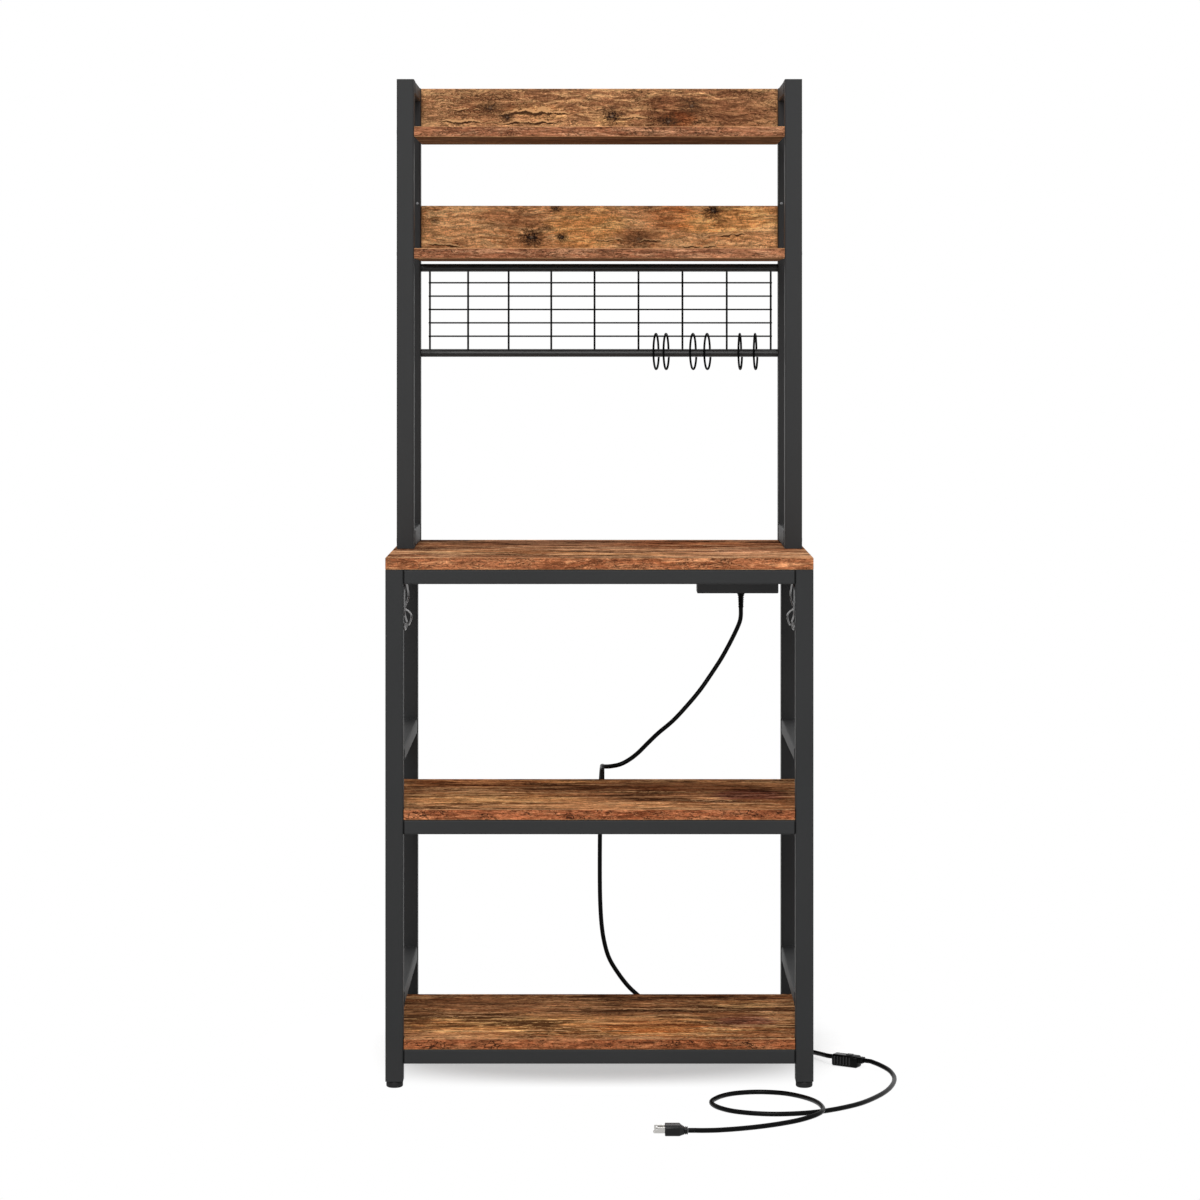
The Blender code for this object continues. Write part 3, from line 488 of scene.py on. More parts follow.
def buildRiftGroup():
    # one long split in the print: a dark wavering line, drawn out to its ends, with a golden lip over it
    takes = {**placeSocket, **colourSocket, "Gold": "Color", "Centre": "Vector", "Reach": 0.04, "Width": 0.001}
    given = startGroup("boardRift", takes, colourSocket)
    away = axesOf(vectors("SUBTRACT", given["Vector"], given["Centre"]))
    rise = swayed(away["Z"], noiseAt(given["Vector"], (34, 6, 6), detail=4), -0.016)
    ends = spread(sums("DIVIDE", sums("ABSOLUTE", away["X"]), given["Reach"]), 0.3, 1, 1, 0)
    taper = times(ends, spread(noiseAt(given["Vector"], (48, 48, 48), (3, 3, 3)), 0.34, 0.58))
    width = sums("MULTIPLY_ADD", taper, given["Width"], 0.00005)
    shown = spread(taper, 0.02, 0.15)
    split = times(spread(sums("DIVIDE", sums("ABSOLUTE", rise), width), 0.45, 1, 0.92, 0), shown)
    lip = times(spread(awayFrom(sums("DIVIDE", rise, width), 1.6), 0.5, 1.2, 0.8, 0), shown)
    colour = mixColour(lip, given["Color"], given["Gold"])
    closeGroup({"Color": mixColour(split, colour, inks["split"])})


def buildCoatGroup():
    takes = {**placeSocket, **colourSocket, "Grain": 900.0, "Variation": 0.15, "Gloss": 0.5}
    given = startGroup("coatGrain", takes, lookSockets)
    fine = noise(given["Vector"], scale=given["Grain"])[0]
    cloud = noiseAt(given["Vector"], (7, 7, 5))
    change = sums("ADD", sums("SUBTRACT", fine, 0.5), sums("SUBTRACT", cloud, 0.5))
    colour = vectors("SCALE", given["Color"], sums("MULTIPLY_ADD", change, given["Variation"], 1))
    closeGroup({"Color": colour, "Roughness": sums("MULTIPLY_ADD", change, 0.12, given["Gloss"]), "Height": fine})


for buildGroup in (buildGrainGroup, buildPatchGroup, buildKnotGroup, buildRiftGroup, buildCoatGroup):
    buildGroup()


# finishes

def startFinish(name):
    finish = bpy.data.materials.new(name)
    finish.use_nodes = True
    bench["tree"] = finish.node_tree
    return finish, finish.node_tree.nodes["Principled BSDF"], addNode("TexCoord")["Object"]


def bump(height, distance, strength=1):
    return addNode("Bump", {"Height": height, "Distance": distance, "Strength": strength})[0]


def coatOn(place, color, grain, variation, gloss):
    inputs = {"Vector": place, "Color": (*color, 1), "Grain": grain, "Variation": variation, "Gloss": gloss}
    return addGroup("coatGrain", inputs)


# each coat's colour, grain, variation, gloss, bump distance and specular level
coatSettings = {
    "framePaint": ((0.027, 0.0275, 0.028), 1300, 0.3, 0.55, 0.00004, 0.12),
    "hutchPaint": ((0.029, 0.0292, 0.0296), 1300, 0.3, 0.52, 0.00004, 0.12),
    "barPaint": ((0.02, 0.02, 0.02), 1300, 0.3, 0.36, 0.00002, 0.3),
    "wireCoat": ((0.004, 0.004, 0.004), 1800, 0.15, 0.4, 0.00001, 0.06),
    "hookCoat": ((0.001, 0.001, 0.001), 1800, 0.15, 0.34, 0.00001, 0.04),
    "scrollCoat": ((0.14, 0.14, 0.14), 1800, 0.2, 0.38, 0.00001, 0.6),
    "footPlastic": ((0.006, 0.006, 0.006), 1500, 0.25, 0.55, 0.00003, 0.25),
    "blockPlastic": ((0.006, 0.006, 0.0063), 1700, 0.2, 0.42, 0.00003, 0.25),
    "facePlastic": ((0.009, 0.009, 0.0095), 1400, 0.12, 0.3, 0.00001, 0.35),
    "boxPlastic": ((0.0012, 0.0012, 0.0013), 1700, 0.2, 0.26, 0.00002, 0.09),
    "glandRubber": ((0.0025, 0.0025, 0.0025), 1500, 0.2, 0.5, 0.00003, 0.06),
    "plugRubber": ((0.0038, 0.0038, 0.0041), 1200, 0.2, 0.26, 0.00002, 0.2),
    "cordJacket": ((0.0012, 0.0012, 0.0013), 700, 0.15, 0.3, 0.00002, 0.07),
}
# the shadow where a front rail butts against its leg: where it starts on X and ends at the leg, and the rail's front
seamShadowSettings = {"from": 0.2724, "full": 0.2734, "leg": (0.27495, 0.2749), "front": (-0.199, -0.1995),
                "color": (0.0015, 0.0015, 0.0015, 1)}
# the inline box's rib crests get a painted highlight, by their distance from its middle line
crestHighlightSettings = {"place": (0.3392, -0.047, 0), "heading": math.radians(-32), "from": 0.0088, "full": 0.0092,
                 "color": (0.03, 0.03, 0.031, 1)}


# painted shadow in the joint where a front rail butts against its leg
def addSeamShadow(place, colour, s):
    axes = axesOf(place)
    dark = spread(sums("ABSOLUTE", axes["X"]), s["from"], s["full"])
    dark = times(dark, spread(sums("ABSOLUTE", axes["X"]), *s["leg"]))
    return mixColour(times(dark, spread(axes["Y"], *s["front"])), colour, s["color"])


# painted highlight: a lighter colour on the crests of the box's ribs
def addCrestHighlight(place, colour, s):
    off = vectors("SUBTRACT", place, s["place"])
    across = axesOf(addNode("Mapping", {"Vector": off, "Rotation": (0, 0, -s["heading"])})[0])["Y"]
    return mixColour(spread(sums("ABSOLUTE", across), s["from"], s["full"]), colour, s["color"])


def buildCoat(name, color, grain, variation, gloss, depth, specular):
    finish, shader, place = startFinish(name)
    made = coatOn(place, color, grain, variation, gloss)
    colour = made["Color"]
    if name == "framePaint":
        colour = addSeamShadow(place, colour, seamShadowSettings)
    if name == "boxPlastic":
        colour = addCrestHighlight(place, colour, crestHighlightSettings)
    feed(shader, {"Base Color": colour, "Roughness": made["Roughness"], "Specular IOR Level": specular,
                  "Normal": bump(made["Height"], depth)})
    return finish


metalSettings = {"nickel": ((0.5, 0.49, 0.47), 0.16), "boltSteel": ((0.15, 0.15, 0.155), 0.3)}  # colour, gloss


def buildMetal(name, color, gloss):
    finish, shader, place = startFinish(name)
    made = coatOn(place, color, 2500, 0.1, gloss)
    brushed = noiseAt(place, (300, 4000, 4000), detail=2, rough=0.5)
    feed(shader, {"Base Color": made["Color"], "Roughness": made["Roughness"], "Metallic": 1.0,
                  "Normal": bump(brushed, 0.00001)})
    return finish


# each board has its own run of grain; a patch, knot or rift is placed along the board (x) and across it (y on a
# flat board, z on an upright one): patches are (tint, x, across, reach, width), rifts (x, across, reach, width) and
# knots (x, across, size, depth)
tints = {
    "dark": (0.5, 0.43, 0.42), "dim": (0.72, 0.66, 0.66), "red": (0.92, 0.72, 0.62), "gold": (1.3, 1.34, 1.24),
    "straw": (1.2, 1.19, 1), "pale": (1.35, 1.38, 1.45), "plum": (0.55, 0.45, 0.6),
}
plainBoard = {
    "bandTintAndShade": (1, 0.96, 0.915), "faceShade": (1, 1, 1), "bandCrackle": 0.55, "crackle": 0.3, "length": 1.0,
    "across": 0.8, "streaks": 0.6, "cracks": 0.4, "mottle": 0.0, "knots": (), "rifts": (), "patches": (),
    # how strong the painted underside shade and the painted chamfer highlight (partly rubbed wear) are, and the bump
    "undersideShadeDepth": 0.65, "edgeWearAndHighlightDepth": 0.55, "bump": 0.00025, "bumpStrength": 0.6,
}
# a board's band multiplier tints its edge band, and on the middle and bottom shelves darkens it as painted shade
boardSettings = {
    "worktop": {
        "bandTintAndShade": (1.03, 1.07, 1.17), "faceShade": (0.93, 0.97, 1.12), "crackle": 0.2, "bandCrackle": 0.45,
        "shift": (0.3, 1.7, 0.2), "across": 0.5, "streaks": 0.95, "cracks": 0.45,
        "rifts": ((0.12, 0.06, 0.12, 0.006), (-0.05, 0.12, 0.1, 0.005), (0.02, -0.06, 0.1, 0.0045),
                  (-0.22, -0.03, 0.06, 0.0045)),
        "patches": (("dim", -0.03, 0.11, 0.2, 0.08), ("red", 0.15, 0.1, 0.13, 0.09),
                    ("gold", -0.15, -0.08, 0.13, 0.06), ("pale", 0.19, -0.07, 0.06, 0.06),
                    ("gold", 0.02, -0.13, 0.14, 0.04), ("dark", 0.25, 0.14, 0.04, 0.05),
                    ("dim", -0.1, 0.15, 0.25, 0.04)),
    },
    "middle_shelf": {
        "bandTintAndShade": (0.875, 0.79, 0.835), "crackle": 0.35, "bandCrackle": 0.9, "shift": (2.1, 0.4, 1.2),
        "across": 0.55, "streaks": 0.9, "cracks": 0.5,
        "rifts": ((-0.2, -0.005, 0.1, 0.005), (-0.08, -0.135, 0.045, 0.005), (0.07, -0.03, 0.13, 0.006),
                  (0.15, -0.11, 0.04, 0.0045)),
        "patches": (("dark", 0.1, 0.02, 0.24, 0.055), ("plum", 0.215, -0.055, 0.07, 0.06),
                    ("gold", -0.15, -0.095, 0.16, 0.06), ("pale", 0.165, -0.115, 0.04, 0.026),
                    ("red", -0.18, 0.07, 0.12, 0.05), ("dim", 0.06, -0.07, 0.12, 0.05),
                    ("gold", -0.04, 0.09, 0.06, 0.03)),
    },
    "bottom_shelf": {
        "bandTintAndShade": (0.78, 0.72, 0.735), "crackle": 0.4, "bandCrackle": 0.9, "shift": (4.6, 2.2, 3.1), "across": 0.6,
        "streaks": 0.9, "cracks": 0.6,
        "rifts": ((-0.19, -0.05, 0.09, 0.0045), (-0.08, -0.15, 0.05, 0.005), (0.1, 0, 0.14, 0.005),
                  (0.01, -0.15, 0.05, 0.0045), (0.16, -0.13, 0.03, 0.004)),
        "patches": (("dim", -0.17, 0.03, 0.13, 0.06), ("dim", 0.04, -0.01, 0.1, 0.04),
                    ("gold", -0.17, -0.1, 0.15, 0.06), ("gold", 0, -0.11, 0.3, 0.085),
                    ("plum", 0.205, -0.08, 0.05, 0.045), ("pale", 0.165, -0.125, 0.035, 0.022),
                    ("gold", 0.21, 0.04, 0.06, 0.04), ("gold", 0.06, -0.145, 0.2, 0.035),
                    ("red", 0.08, -0.12, 0.1, 0.05), ("dark", 0.1, 0.1, 0.18, 0.025)),
    },
    "hutch_lower_shelf": {"shift": (6.4, 3.1, 2.4)},
    "hutch_upper_shelf": {"shift": (7.7, 1.1, 4.5)},
    "hutch_lower_backboard": {
        "crackle": 0.42, "shift": (9.2, 0.7, 5.3), "length": 2.2, "across": 1.2, "streaks": 0.08, "cracks": 0.26,
        "mottle": 0.08,
        "knots": ((-0.103, 1.203, 0.019, 1), (-0.057, 1.203, 0.0085, 1), (0.172, 1.243, 0.015, 1),
                  (0.059, 1.2, 0.02, 0.45), (-0.066, 1.246, 0.009, 1), (-0.079, 1.218, 0.008, 0.5),
                  (-0.25, 1.228, 0.008, 0.6)),
        "rifts": ((0.01, 1.1985, 0.035, 0.002), (0.085, 1.196, 0.035, 0.0022), (0.2, 1.206, 0.03, 0.0018),
                  (-0.235, 1.19, 0.03, 0.002), (0.15, 1.188, 0.04, 0.0018)),
        "patches": (("dim", -0.13, 1.233, 0.05, 0.02), ("straw", 0.2, 1.23, 0.09, 0.03),
                    ("dim", 0.06, 1.201, 0.045, 0.018), ("straw", -0.02, 1.218, 0.06, 0.035),
                    ("dim", -0.23, 1.19, 0.04, 0.012), ("red", 0.11, 1.235, 0.04, 0.02)),
    },
    "hutch_upper_backboard": {
        "crackle": 0.6, "shift": (11.8, 2.9, 6.6), "length": 2.4, "across": 1.5, "streaks": 0.28, "cracks": 0.72,
        "mottle": 0.32,
        "knots": ((0.019, 1.3865, 0.018, 1), (-0.165, 1.399, 0.018, 0.6), (0.105, 1.378, 0.016, 0.8),
                  (0.14, 1.402, 0.018, 0.6), (-0.14, 1.385, 0.011, 0.8)),
        "rifts": ((-0.1, 1.3895, 0.065, 0.004), (-0.205, 1.377, 0.045, 0.0022), (-0.105, 1.375, 0.055, 0.0024),
                  (0.045, 1.383, 0.03, 0.0022), (-0.2, 1.396, 0.025, 0.0018)),
        "patches": (("dim", 0.11, 1.4, 0.05, 0.03), ("dim", 0.15, 1.385, 0.09, 0.03),
                    ("dim", -0.17, 1.4, 0.05, 0.022), ("gold", -0.09, 1.393, 0.06, 0.014),
                    ("dim", 0.22, 1.395, 0.06, 0.04), ("gold", 0.02, 1.378, 0.03, 0.01),
                    ("red", 0.12, 1.38, 0.03, 0.02)),
    },
}
bandGrain = {"Streaks": 0.3, "Cracks": 0.75, "Mottle": 0.3, "Length": 1.8, "Across": 1.6}
# the print's pale, brown, dark and golden ink, on the faces and on the bands round the edges
printInks = {
    "flat": ((0.55, 0.238, 0.098), (0.315, 0.114, 0.044), (0.074, 0.03, 0.014), (0.74, 0.385, 0.175)),
    # the lower backboard's inks are paler than the upper one's, partly for its own print and partly as painted light
    # lifting it where the upper shelf shades it
    "hutch_lower_backboard": ((0.7, 0.342, 0.146), (0.57, 0.254, 0.102), (0.21, 0.098, 0.05), (0.8, 0.465, 0.215)),
    "hutch_upper_backboard": ((0.42, 0.212, 0.1), (0.285, 0.13, 0.06), (0.09, 0.043, 0.024), (0.64, 0.37, 0.17)),
    "hutchBand": ((0.345, 0.147, 0.075), (0.25, 0.097, 0.049), (0.085, 0.034, 0.02), (0.46, 0.235, 0.13)),
    "lowerBand": ((0.4, 0.14, 0.055), (0.285, 0.088, 0.032), (0.075, 0.025, 0.012), (0.58, 0.25, 0.105)),
}


def grainOf(place, kind, **grain):
    colours = {name: (*ink, 1) for name, ink in zip(("Pale", "Brown", "Dark", "Gold"), printInks[kind])}
    return addGroup("rusticGrain", {"Vector": place, **colours, **grain})


def buildBoard(name, s):
    upright = name.endswith("backboard")
    finish, shader, place = startFinish(name + "Wood")
    grain = {key.capitalize(): s[key] for key in ("streaks", "cracks", "mottle", "length", "across", "crackle")}
    kind = name if upright else "flat"
    face = grainOf(stretched(place, (1, 1, 1), s["shift"]), kind, **grain)
    colour = face["Color"]
    axes = axesOf(place)
    onFace = addNode("CombineXYZ", {"X": axes["X"], "Z": axes["Z" if upright else "Y"]})[0]
    marks = []
    for tint, x, across, reach, width in s["patches"]:
        marks.append(("boardPatch", x, across, {"Tint": (*tints[tint], 1), "Reach": (reach, 1, width)}))
    for x, across, reach, width in s["rifts"]:
        marks.append(("boardRift", x, across, {"Gold": (*printInks[kind][-1], 1), "Reach": reach, "Width": width}))
    for x, across, size, depth in s["knots"]:
        marks.append(("boardKnot", x, across, {"Size": size, "Depth": depth}))
    for group, x, across, inputs in marks:
        inputs.update({"Vector": onFace, "Color": colour, "Centre": (x, 0, across)})
        colour = addGroup(group, inputs)["Color"]
    colour = mixColour(1, colour, (*s["faceShade"], 1), "MULTIPLY")
    bandPlace = stretched(place, (1, 1, 1), [part + 13 for part in s["shift"]])
    bandKind = "hutchBand" if name.startswith("hutch") else "lowerBand"
    band = grainOf(bandPlace, bandKind, Crackle=s["bandCrackle"], **bandGrain)["Color"]
    # the band's tint, with painted shade on the middle and bottom shelves
    band = mixColour(1, band, (*s["bandTintAndShade"], 1), "MULTIPLY")

    # the band shows on the edges, with painted shade on the underside and a painted highlight, partly rubbed wear, on
    # the chamfer between band and face
    normal = axesOf(addNode("NewGeometry")["Normal"])
    facing = sums("ABSOLUTE", normal["Y" if upright else "Z"])
    colour = mixColour(spread(facing, 0.6, 0.4), colour, band)
    # painted shade: faces that point down are darkened
    colour = mixColour(times(spread(normal["Z"], -0.8, -0.9), s["undersideShadeDepth"]), colour, inks["under"])
    # painted highlight, partly rubbed wear: the chamfer between band and face is lightened
    edgeWearAndHighlight = times(spread(facing, 0.4, 0.55), spread(facing, 0.95, 0.8))
    colour = mixColour(times(edgeWearAndHighlight, s["edgeWearAndHighlightDepth"]), colour, inks["edgeWearAndHighlight"])
    feed(shader, {"Base Color": colour, "Roughness": face["Roughness"], "Specular IOR Level": 0.0,
                  "Normal": bump(face["Height"], s["bump"], s["bumpStrength"])})
    return finish


finishes = {name: buildCoat(name, *s) for name, s in coatSettings.items()}
finishes.update({name: buildMetal(name, *s) for name, s in metalSettings.items()})
finishes.update({name: buildBoard(name, {**plainBoard, **s}) for name, s in boardSettings.items()})
print("rack: finishes mixed")


# the solids that stay take their finishes

slotFinishes = {
    "frame_steel": "framePaint", "black_wire": "wireCoat", "scroll_wire": "scrollCoat", "foot_rubber": "footPlastic",
    "black_plastic": "blockPlastic", "face_plastic": "facePlastic", "cord_rubber": "cordJacket",
    "nickel_contact": "nickel",
}
for part in frame["record"]["subparts"]:
    name = part["node"]
    finish = name if name in boardSettings else slotFinishes[part["material_slot"]]
    if finish == "framePaint" and name.startswith(("hutch", "grid")):
        finish = "barPaint" if name.startswith("grid") else "hutchPaint"
    materials = frame["nodes"][name].data.materials
    materials.clear()
    materials.append(finishes[finish])


# cords: the route's points are those of the solids

cordSettings = {
    "radius": 0.0033, "gap": 0.0003, "lead": 0.01, "glandEnd": (0.213, 0.152, 0.6443), "steps": 8, "roundness": 4,
    "boxPlace": (0.3392, -0.047), "boxHeading": math.radians(-32), "boxLevel": 0.0116, "boxLength": 0.049,
    "plugPlace": (0.1167, -0.4721), "plugHeading": math.pi, "plugLevel": 0.0062,
}
upperRoute = (
    (0.211, 0.152, 0.6225), (0.2015, 0.151, 0.6013), (0.1854, 0.149, 0.5715), (0.1677, 0.146, 0.5444),
    (0.1501, 0.142, 0.5199), (0.1301, 0.136, 0.497), (0.11, 0.129, 0.4766), (0.0875, 0.1185, 0.459),
    (0.07, 0.1085, 0.4435), (0.058, 0.1015, 0.4325), (0.045, 0.095, 0.4232), (0.0315, 0.0915, 0.4165),
    (0.018, 0.0955, 0.413), (0.008, 0.1055, 0.4112), (0.0045, 0.118, 0.4105), (0.004, 0.129, 0.4082),
    (0.0034, 0.1378, 0.4022), (0.0028, 0.1436, 0.3932), (0.0022, 0.1456, 0.382), (0.0014, 0.1458, 0.355),
    (0.0008, 0.1458, 0.3), (0.0006, 0.1458, 0.245), (0.0012, 0.1457, 0.2046), (0.0032, 0.1455, 0.17),
    (0.0072, 0.145, 0.143), (0.0146, 0.1445, 0.1183), (0.0278, 0.144, 0.0961), (0.0433, 0.143, 0.0763),
    (0.06, 0.1415, 0.061), (0.08, 0.139, 0.0445), (0.1, 0.135, 0.03), (0.123, 0.13, 0.017), (0.148, 0.123, 0.0085),
    (0.175, 0.114, 0.0045), (0.205, 0.099, 0.0036), (0.242, 0.078, 0.0036), (0.2738, 0.0511, 0.004),
    (0.289, 0.0324, 0.0052), (0.3024, 0.0124, 0.007), (0.3156, -0.0098, 0.009),
)
lowerRoute = (
    (0.4018, -0.0943, 0.0096), (0.4126, -0.1144, 0.007), (0.417, -0.1366, 0.0048), (0.4169, -0.1575, 0.0038),
    (0.4121, -0.1881, 0.0036), (0.4015, -0.2253, 0.0036), (0.385, -0.2625, 0.0036), (0.3597, -0.3033, 0.0036),
    (0.3302, -0.3329, 0.0036), (0.2988, -0.3545, 0.0036), (0.2684, -0.3655, 0.0036), (0.2357, -0.369, 0.0036),
    (0.2063, -0.3638, 0.0036), (0.1811, -0.3516, 0.0036), (0.1648, -0.334, 0.0036), (0.156, -0.3158, 0.0036),
    (0.1536, -0.2979, 0.0036), (0.158, -0.2818, 0.0036), (0.1687, -0.2625, 0.0036), (0.1852, -0.2473, 0.0036),
    (0.2078, -0.2388, 0.0036), (0.2314, -0.239, 0.0038), (0.2558, -0.2499, 0.0046), (0.2752, -0.2733, 0.0062),
    (0.2898, -0.3039, 0.0084), (0.2982, -0.3329, 0.01), (0.3016, -0.3587, 0.0108), (0.3012, -0.377, 0.011),
    (0.2956, -0.3932, 0.0106), (0.2833, -0.407, 0.009), (0.2639, -0.4181, 0.0064), (0.2379, -0.4298, 0.0045),
    (0.2107, -0.442, 0.0038), (0.1836, -0.454, 0.004), (0.1567, -0.464, 0.0046), (0.138, -0.47, 0.0056),
)


def runLength(run):
    return sum((b - a).length for a, b in zip(run, run[1:]))


def layCords(s):
    def at(end, along):
        (x, y), heading = s[end + "Place"], s[end + "Heading"]
        return Vector((x + along * math.cos(heading), y + along * math.sin(heading), s[end + "Level"]))

    gap, lead, boxFar = s["gap"], s["lead"], s["boxLength"] + s["gap"]
    gland = Vector(s["glandEnd"])
    upper = (gland - Vector((0, 0, lead)), *upperRoute, at("box", -gap - lead))
    lower = (at("box", boxFar + lead), *lowerRoute, at("plug", -gap - lead))
    upperRun = [gland, *runThrough(upper, s["steps"]), at("box", -gap)]
    lowerRun = [at("box", boxFar), *runThrough(lower, s["steps"]), at("plug", -gap)]
    cords = []
    for end, run in (("Upper", upperRun), ("Lower", lowerRun)):
        cord = addRun("mainsCord" + end, run, s["radius"], s["roundness"])
        finishPiece(cord, cord.name, "cordJacket", "cord_rubber", "power_cord_" + end.lower())
        cords.append(cord)
    print("rack: cord lengths", round(runLength(upperRun), 4), round(runLength(lowerRun), 4))
    return *cords, upperRun, lowerRun


upperCord, lowerCord, upperRun, lowerRun = layCords(cordSettings)


# wire grid: rods made once and copied, with a weld bead at each crossing

gridSettings = {
    "y": 0.1875, "shift": 0.0014, "length": 0.5168, "overhang": 0.002, "rowRadius": 0.0012, "uprightRadius": 0.0015,
    "sides": 12, "chamfer": 0.0004, "rowTop": 1.1339, "rowPitch": 0.02025, "rows": 5, "weldOffset": 0.0018,
    "uprightLow": 1.0338, "uprightHigh": 1.1503, "shares": (0, 0.112, 0.231, 0.356, 0.483, 0.612, 0.741, 0.871, 1),
    "bead": ((0.0006, -0.0016), (0.0013, -0.0008), (0.0014, 0), (0.0013, 0.0008), (0.0006, 0.0016)),
    "beadSides": 8, "rowBead": 0.0008, "endBead": 0.0012,  # how far the beads lie behind the rows
}


def addRod(radius, length, s):
    small, edge = radius - s["chamfer"], s["chamfer"]
    return addTurned(((small, 0), (radius, edge), (radius, length - edge), (small, length)), s["sides"])


def buildGrid(s):
    y, low, high = s["y"], s["uprightLow"], s["uprightHigh"]
    rows = [s["rowTop"] - s["rowPitch"] * row for row in range(s["rows"])]
    columns = [s["shift"] + s["length"] * (share - 0.5) for share in s["shares"]]
    half = s["length"] / 2 + s["overhang"]
    rod = addRod(s["rowRadius"], 2 * half, s)
    parts = copiesOf(rod, [((s["shift"] - half, y, z), (0, quarterTurn, 0)) for z in rows])
    rod = addRod(s["uprightRadius"], high - low, s)
    parts += copiesOf(rod, [((x, y + s["weldOffset"], low),) for x in columns])
    spots = [((x, y + s["rowBead"], z),) for x in columns for z in rows]
    spots += [((x, y + s["endBead"], z),) for x in columns for z in (low, high)]
    grid = joined(parts + copiesOf(addTurned(s["bead"], s["beadSides"]), spots))
    smoothAngle(grid, 40)
    finishPiece(grid, "wireGrid", "wireCoat", "black_wire", "wire_grid")


# hooks: each hangs on the lowest row with its shank against the lower bar

hookSettings = {
    "radius": 0.0016, "height": 0.0566, "curl": 0.006, "back": 0.0134, "tail": 0.0225, "tip": 0.0185,
    "barRadius": 0.006, "rowRadius": 0.0012, "gap": 0.0003, "arcSteps": 24, "shankSteps": 12, "curlSteps": 20,
    "tailSteps": 6, "tipSteps": 4, "roundness": 4, "endRound": 0.0006, "row": (0.1875, 1.0529), "half": 0.2584,
    "pairs": ((0.0112, 0.332, 0.391), (0.0125, 0.549, 0.632), (0.0082, 0.824, 0.914)),  # width, and where on the row
}


def hookRun(s, width):
    # from the rear end over the row, down in front of the bar, round the curl to the front end
    radius, back, turn = s["radius"], s["back"], s["curl"]
    reach = s["barRadius"] + s["gap"] + radius
    loop, loopY = (reach + back) / 2, (back - reach) / 2
    crown = -math.sqrt((loop - s["rowRadius"] - s["gap"] - radius) ** 2 - loopY ** 2)
    bottom = crown + loop + 2 * radius - s["height"]
    curl, middle, half = bottom + turn, (crown + loop + bottom) / 2, (crown + loop - bottom) / 2

    def arc(y, z, across, rise, steps):
        turns = [math.pi * step / steps for step in range(steps + 1)]
        return [(y + across * math.cos(angle), z + rise * math.sin(angle)) for angle in turns]

    def straight(y, low, high, steps):
        return [(y, low + (high - low) * step / steps) for step in range(steps + 1)]

    # the wire leans to one side on its way up and to the other on its way down
    over = arc(loopY, crown, loop, loop, s["arcSteps"])
    under = arc(-reach - turn, curl, turn, -turn, s["curlSteps"])
    top, low = s["arcSteps"] // 2, s["curlSteps"] // 2
    rising = straight(back, -s["tail"], crown, s["tailSteps"])[:-1] + over[:top]
    falling = over[top:] + straight(-reach, crown, curl, s["shankSteps"])[1:-1] + under[:low]
    tip = under[low:] + straight(-reach - 2 * turn, curl, bottom + s["tip"], s["tipSteps"])[1:]
    run = []
    for side, places in ((1, rising), (-1, falling), (1, tip)):
        for y, z in places:
            level = min(abs((z - middle) / half), 1)
            run.append(Vector((side * (width / 2 - radius) * math.sqrt(1 - level ** 2), y, z)))
    return run


def buildHooks(s):
    hooks = []
    for width, *shares in s["pairs"]:
        hook = asMesh(addRun("hookWire", hookRun(s, width), s["radius"], s["roundness"]), s["endRound"])
        hooks += copiesOf(hook, [((share * s["half"], *s["row"]),) for share in shares])
    for number, hook in enumerate(hooks, start=1):
        finishPiece(hook, f"utensilHook{number}", "hookCoat", "black_wire", f"hook_{number}",
                    body=f"hook_{number}_body")


# bent-wire scroll in each side, under the worktop

scrollSettings = {
    "radius": 0.0012, "length": 0.2, "height": 0.07, "front": -0.2, "top": 0.7102, "x": 0.2735, "steps": 5,
    "roundness": 3, "endRound": 0.0005,
    "shares": (
        (0.11, 0.864), (0.05, 0.907), (0.07, 0.971), (0.175, 1), (0.29, 0.971), (0.35, 0.9), (0.225, 0.8),
        (0.075, 0.664), (0.04, 0.493), (0.04, 0.293), (0.06, 0.15), (0.175, 0.03), (0.3, 0.093), (0.45, 0.25),
        (0.535, 0.379), (0.5, 0.464), (0.3, 0.5), (0.13, 0.536), (0.175, 0.593), (0.5, 0.707), (0.68, 0.78),
        (0.88, 0.871), (0.92, 0.936), (0.825, 0.993), (0.625, 1.014), (0.49, 0.993),
    ),
}


def buildScrolls(s):
    points = [(0, s["front"] + s["length"] * along, s["top"] - s["height"] * down) for along, down in s["shares"]]
    wire = addRun("scrollWire", runThrough(points, s["steps"]), s["radius"], s["roundness"])
    scrolls = copiesOf(asMesh(wire, s["endRound"]), [((-s["x"], 0, 0),), ((s["x"], 0, 0),)])
    for side, scroll in zip(("left", "right"), scrolls):
        finishPiece(scroll, "sideScroll" + side.capitalize(), "scrollCoat", "scroll_wire", "side_scroll_" + side)


# levelling feet: a fluted pad under a threaded stem

footSettings = {
    "sides": 48, "flute": 0.95, "fluteLow": 0.0015, "fluteHigh": 0.0075, "stemRadius": 0.004, "rootRadius": 0.0034,
    "pitch": 0.00125, "padTop": 0.009, "stemTop": 0.031, "stemSides": 16, "lap": 0.001, "tipIn": 0.0006,
    "pad": ((0.0098, 0), (0.0111, 0.0007), (0.0118, 0.002), (0.0118, 0.007), (0.011, 0.0083), (0.0098, 0.009)),
}


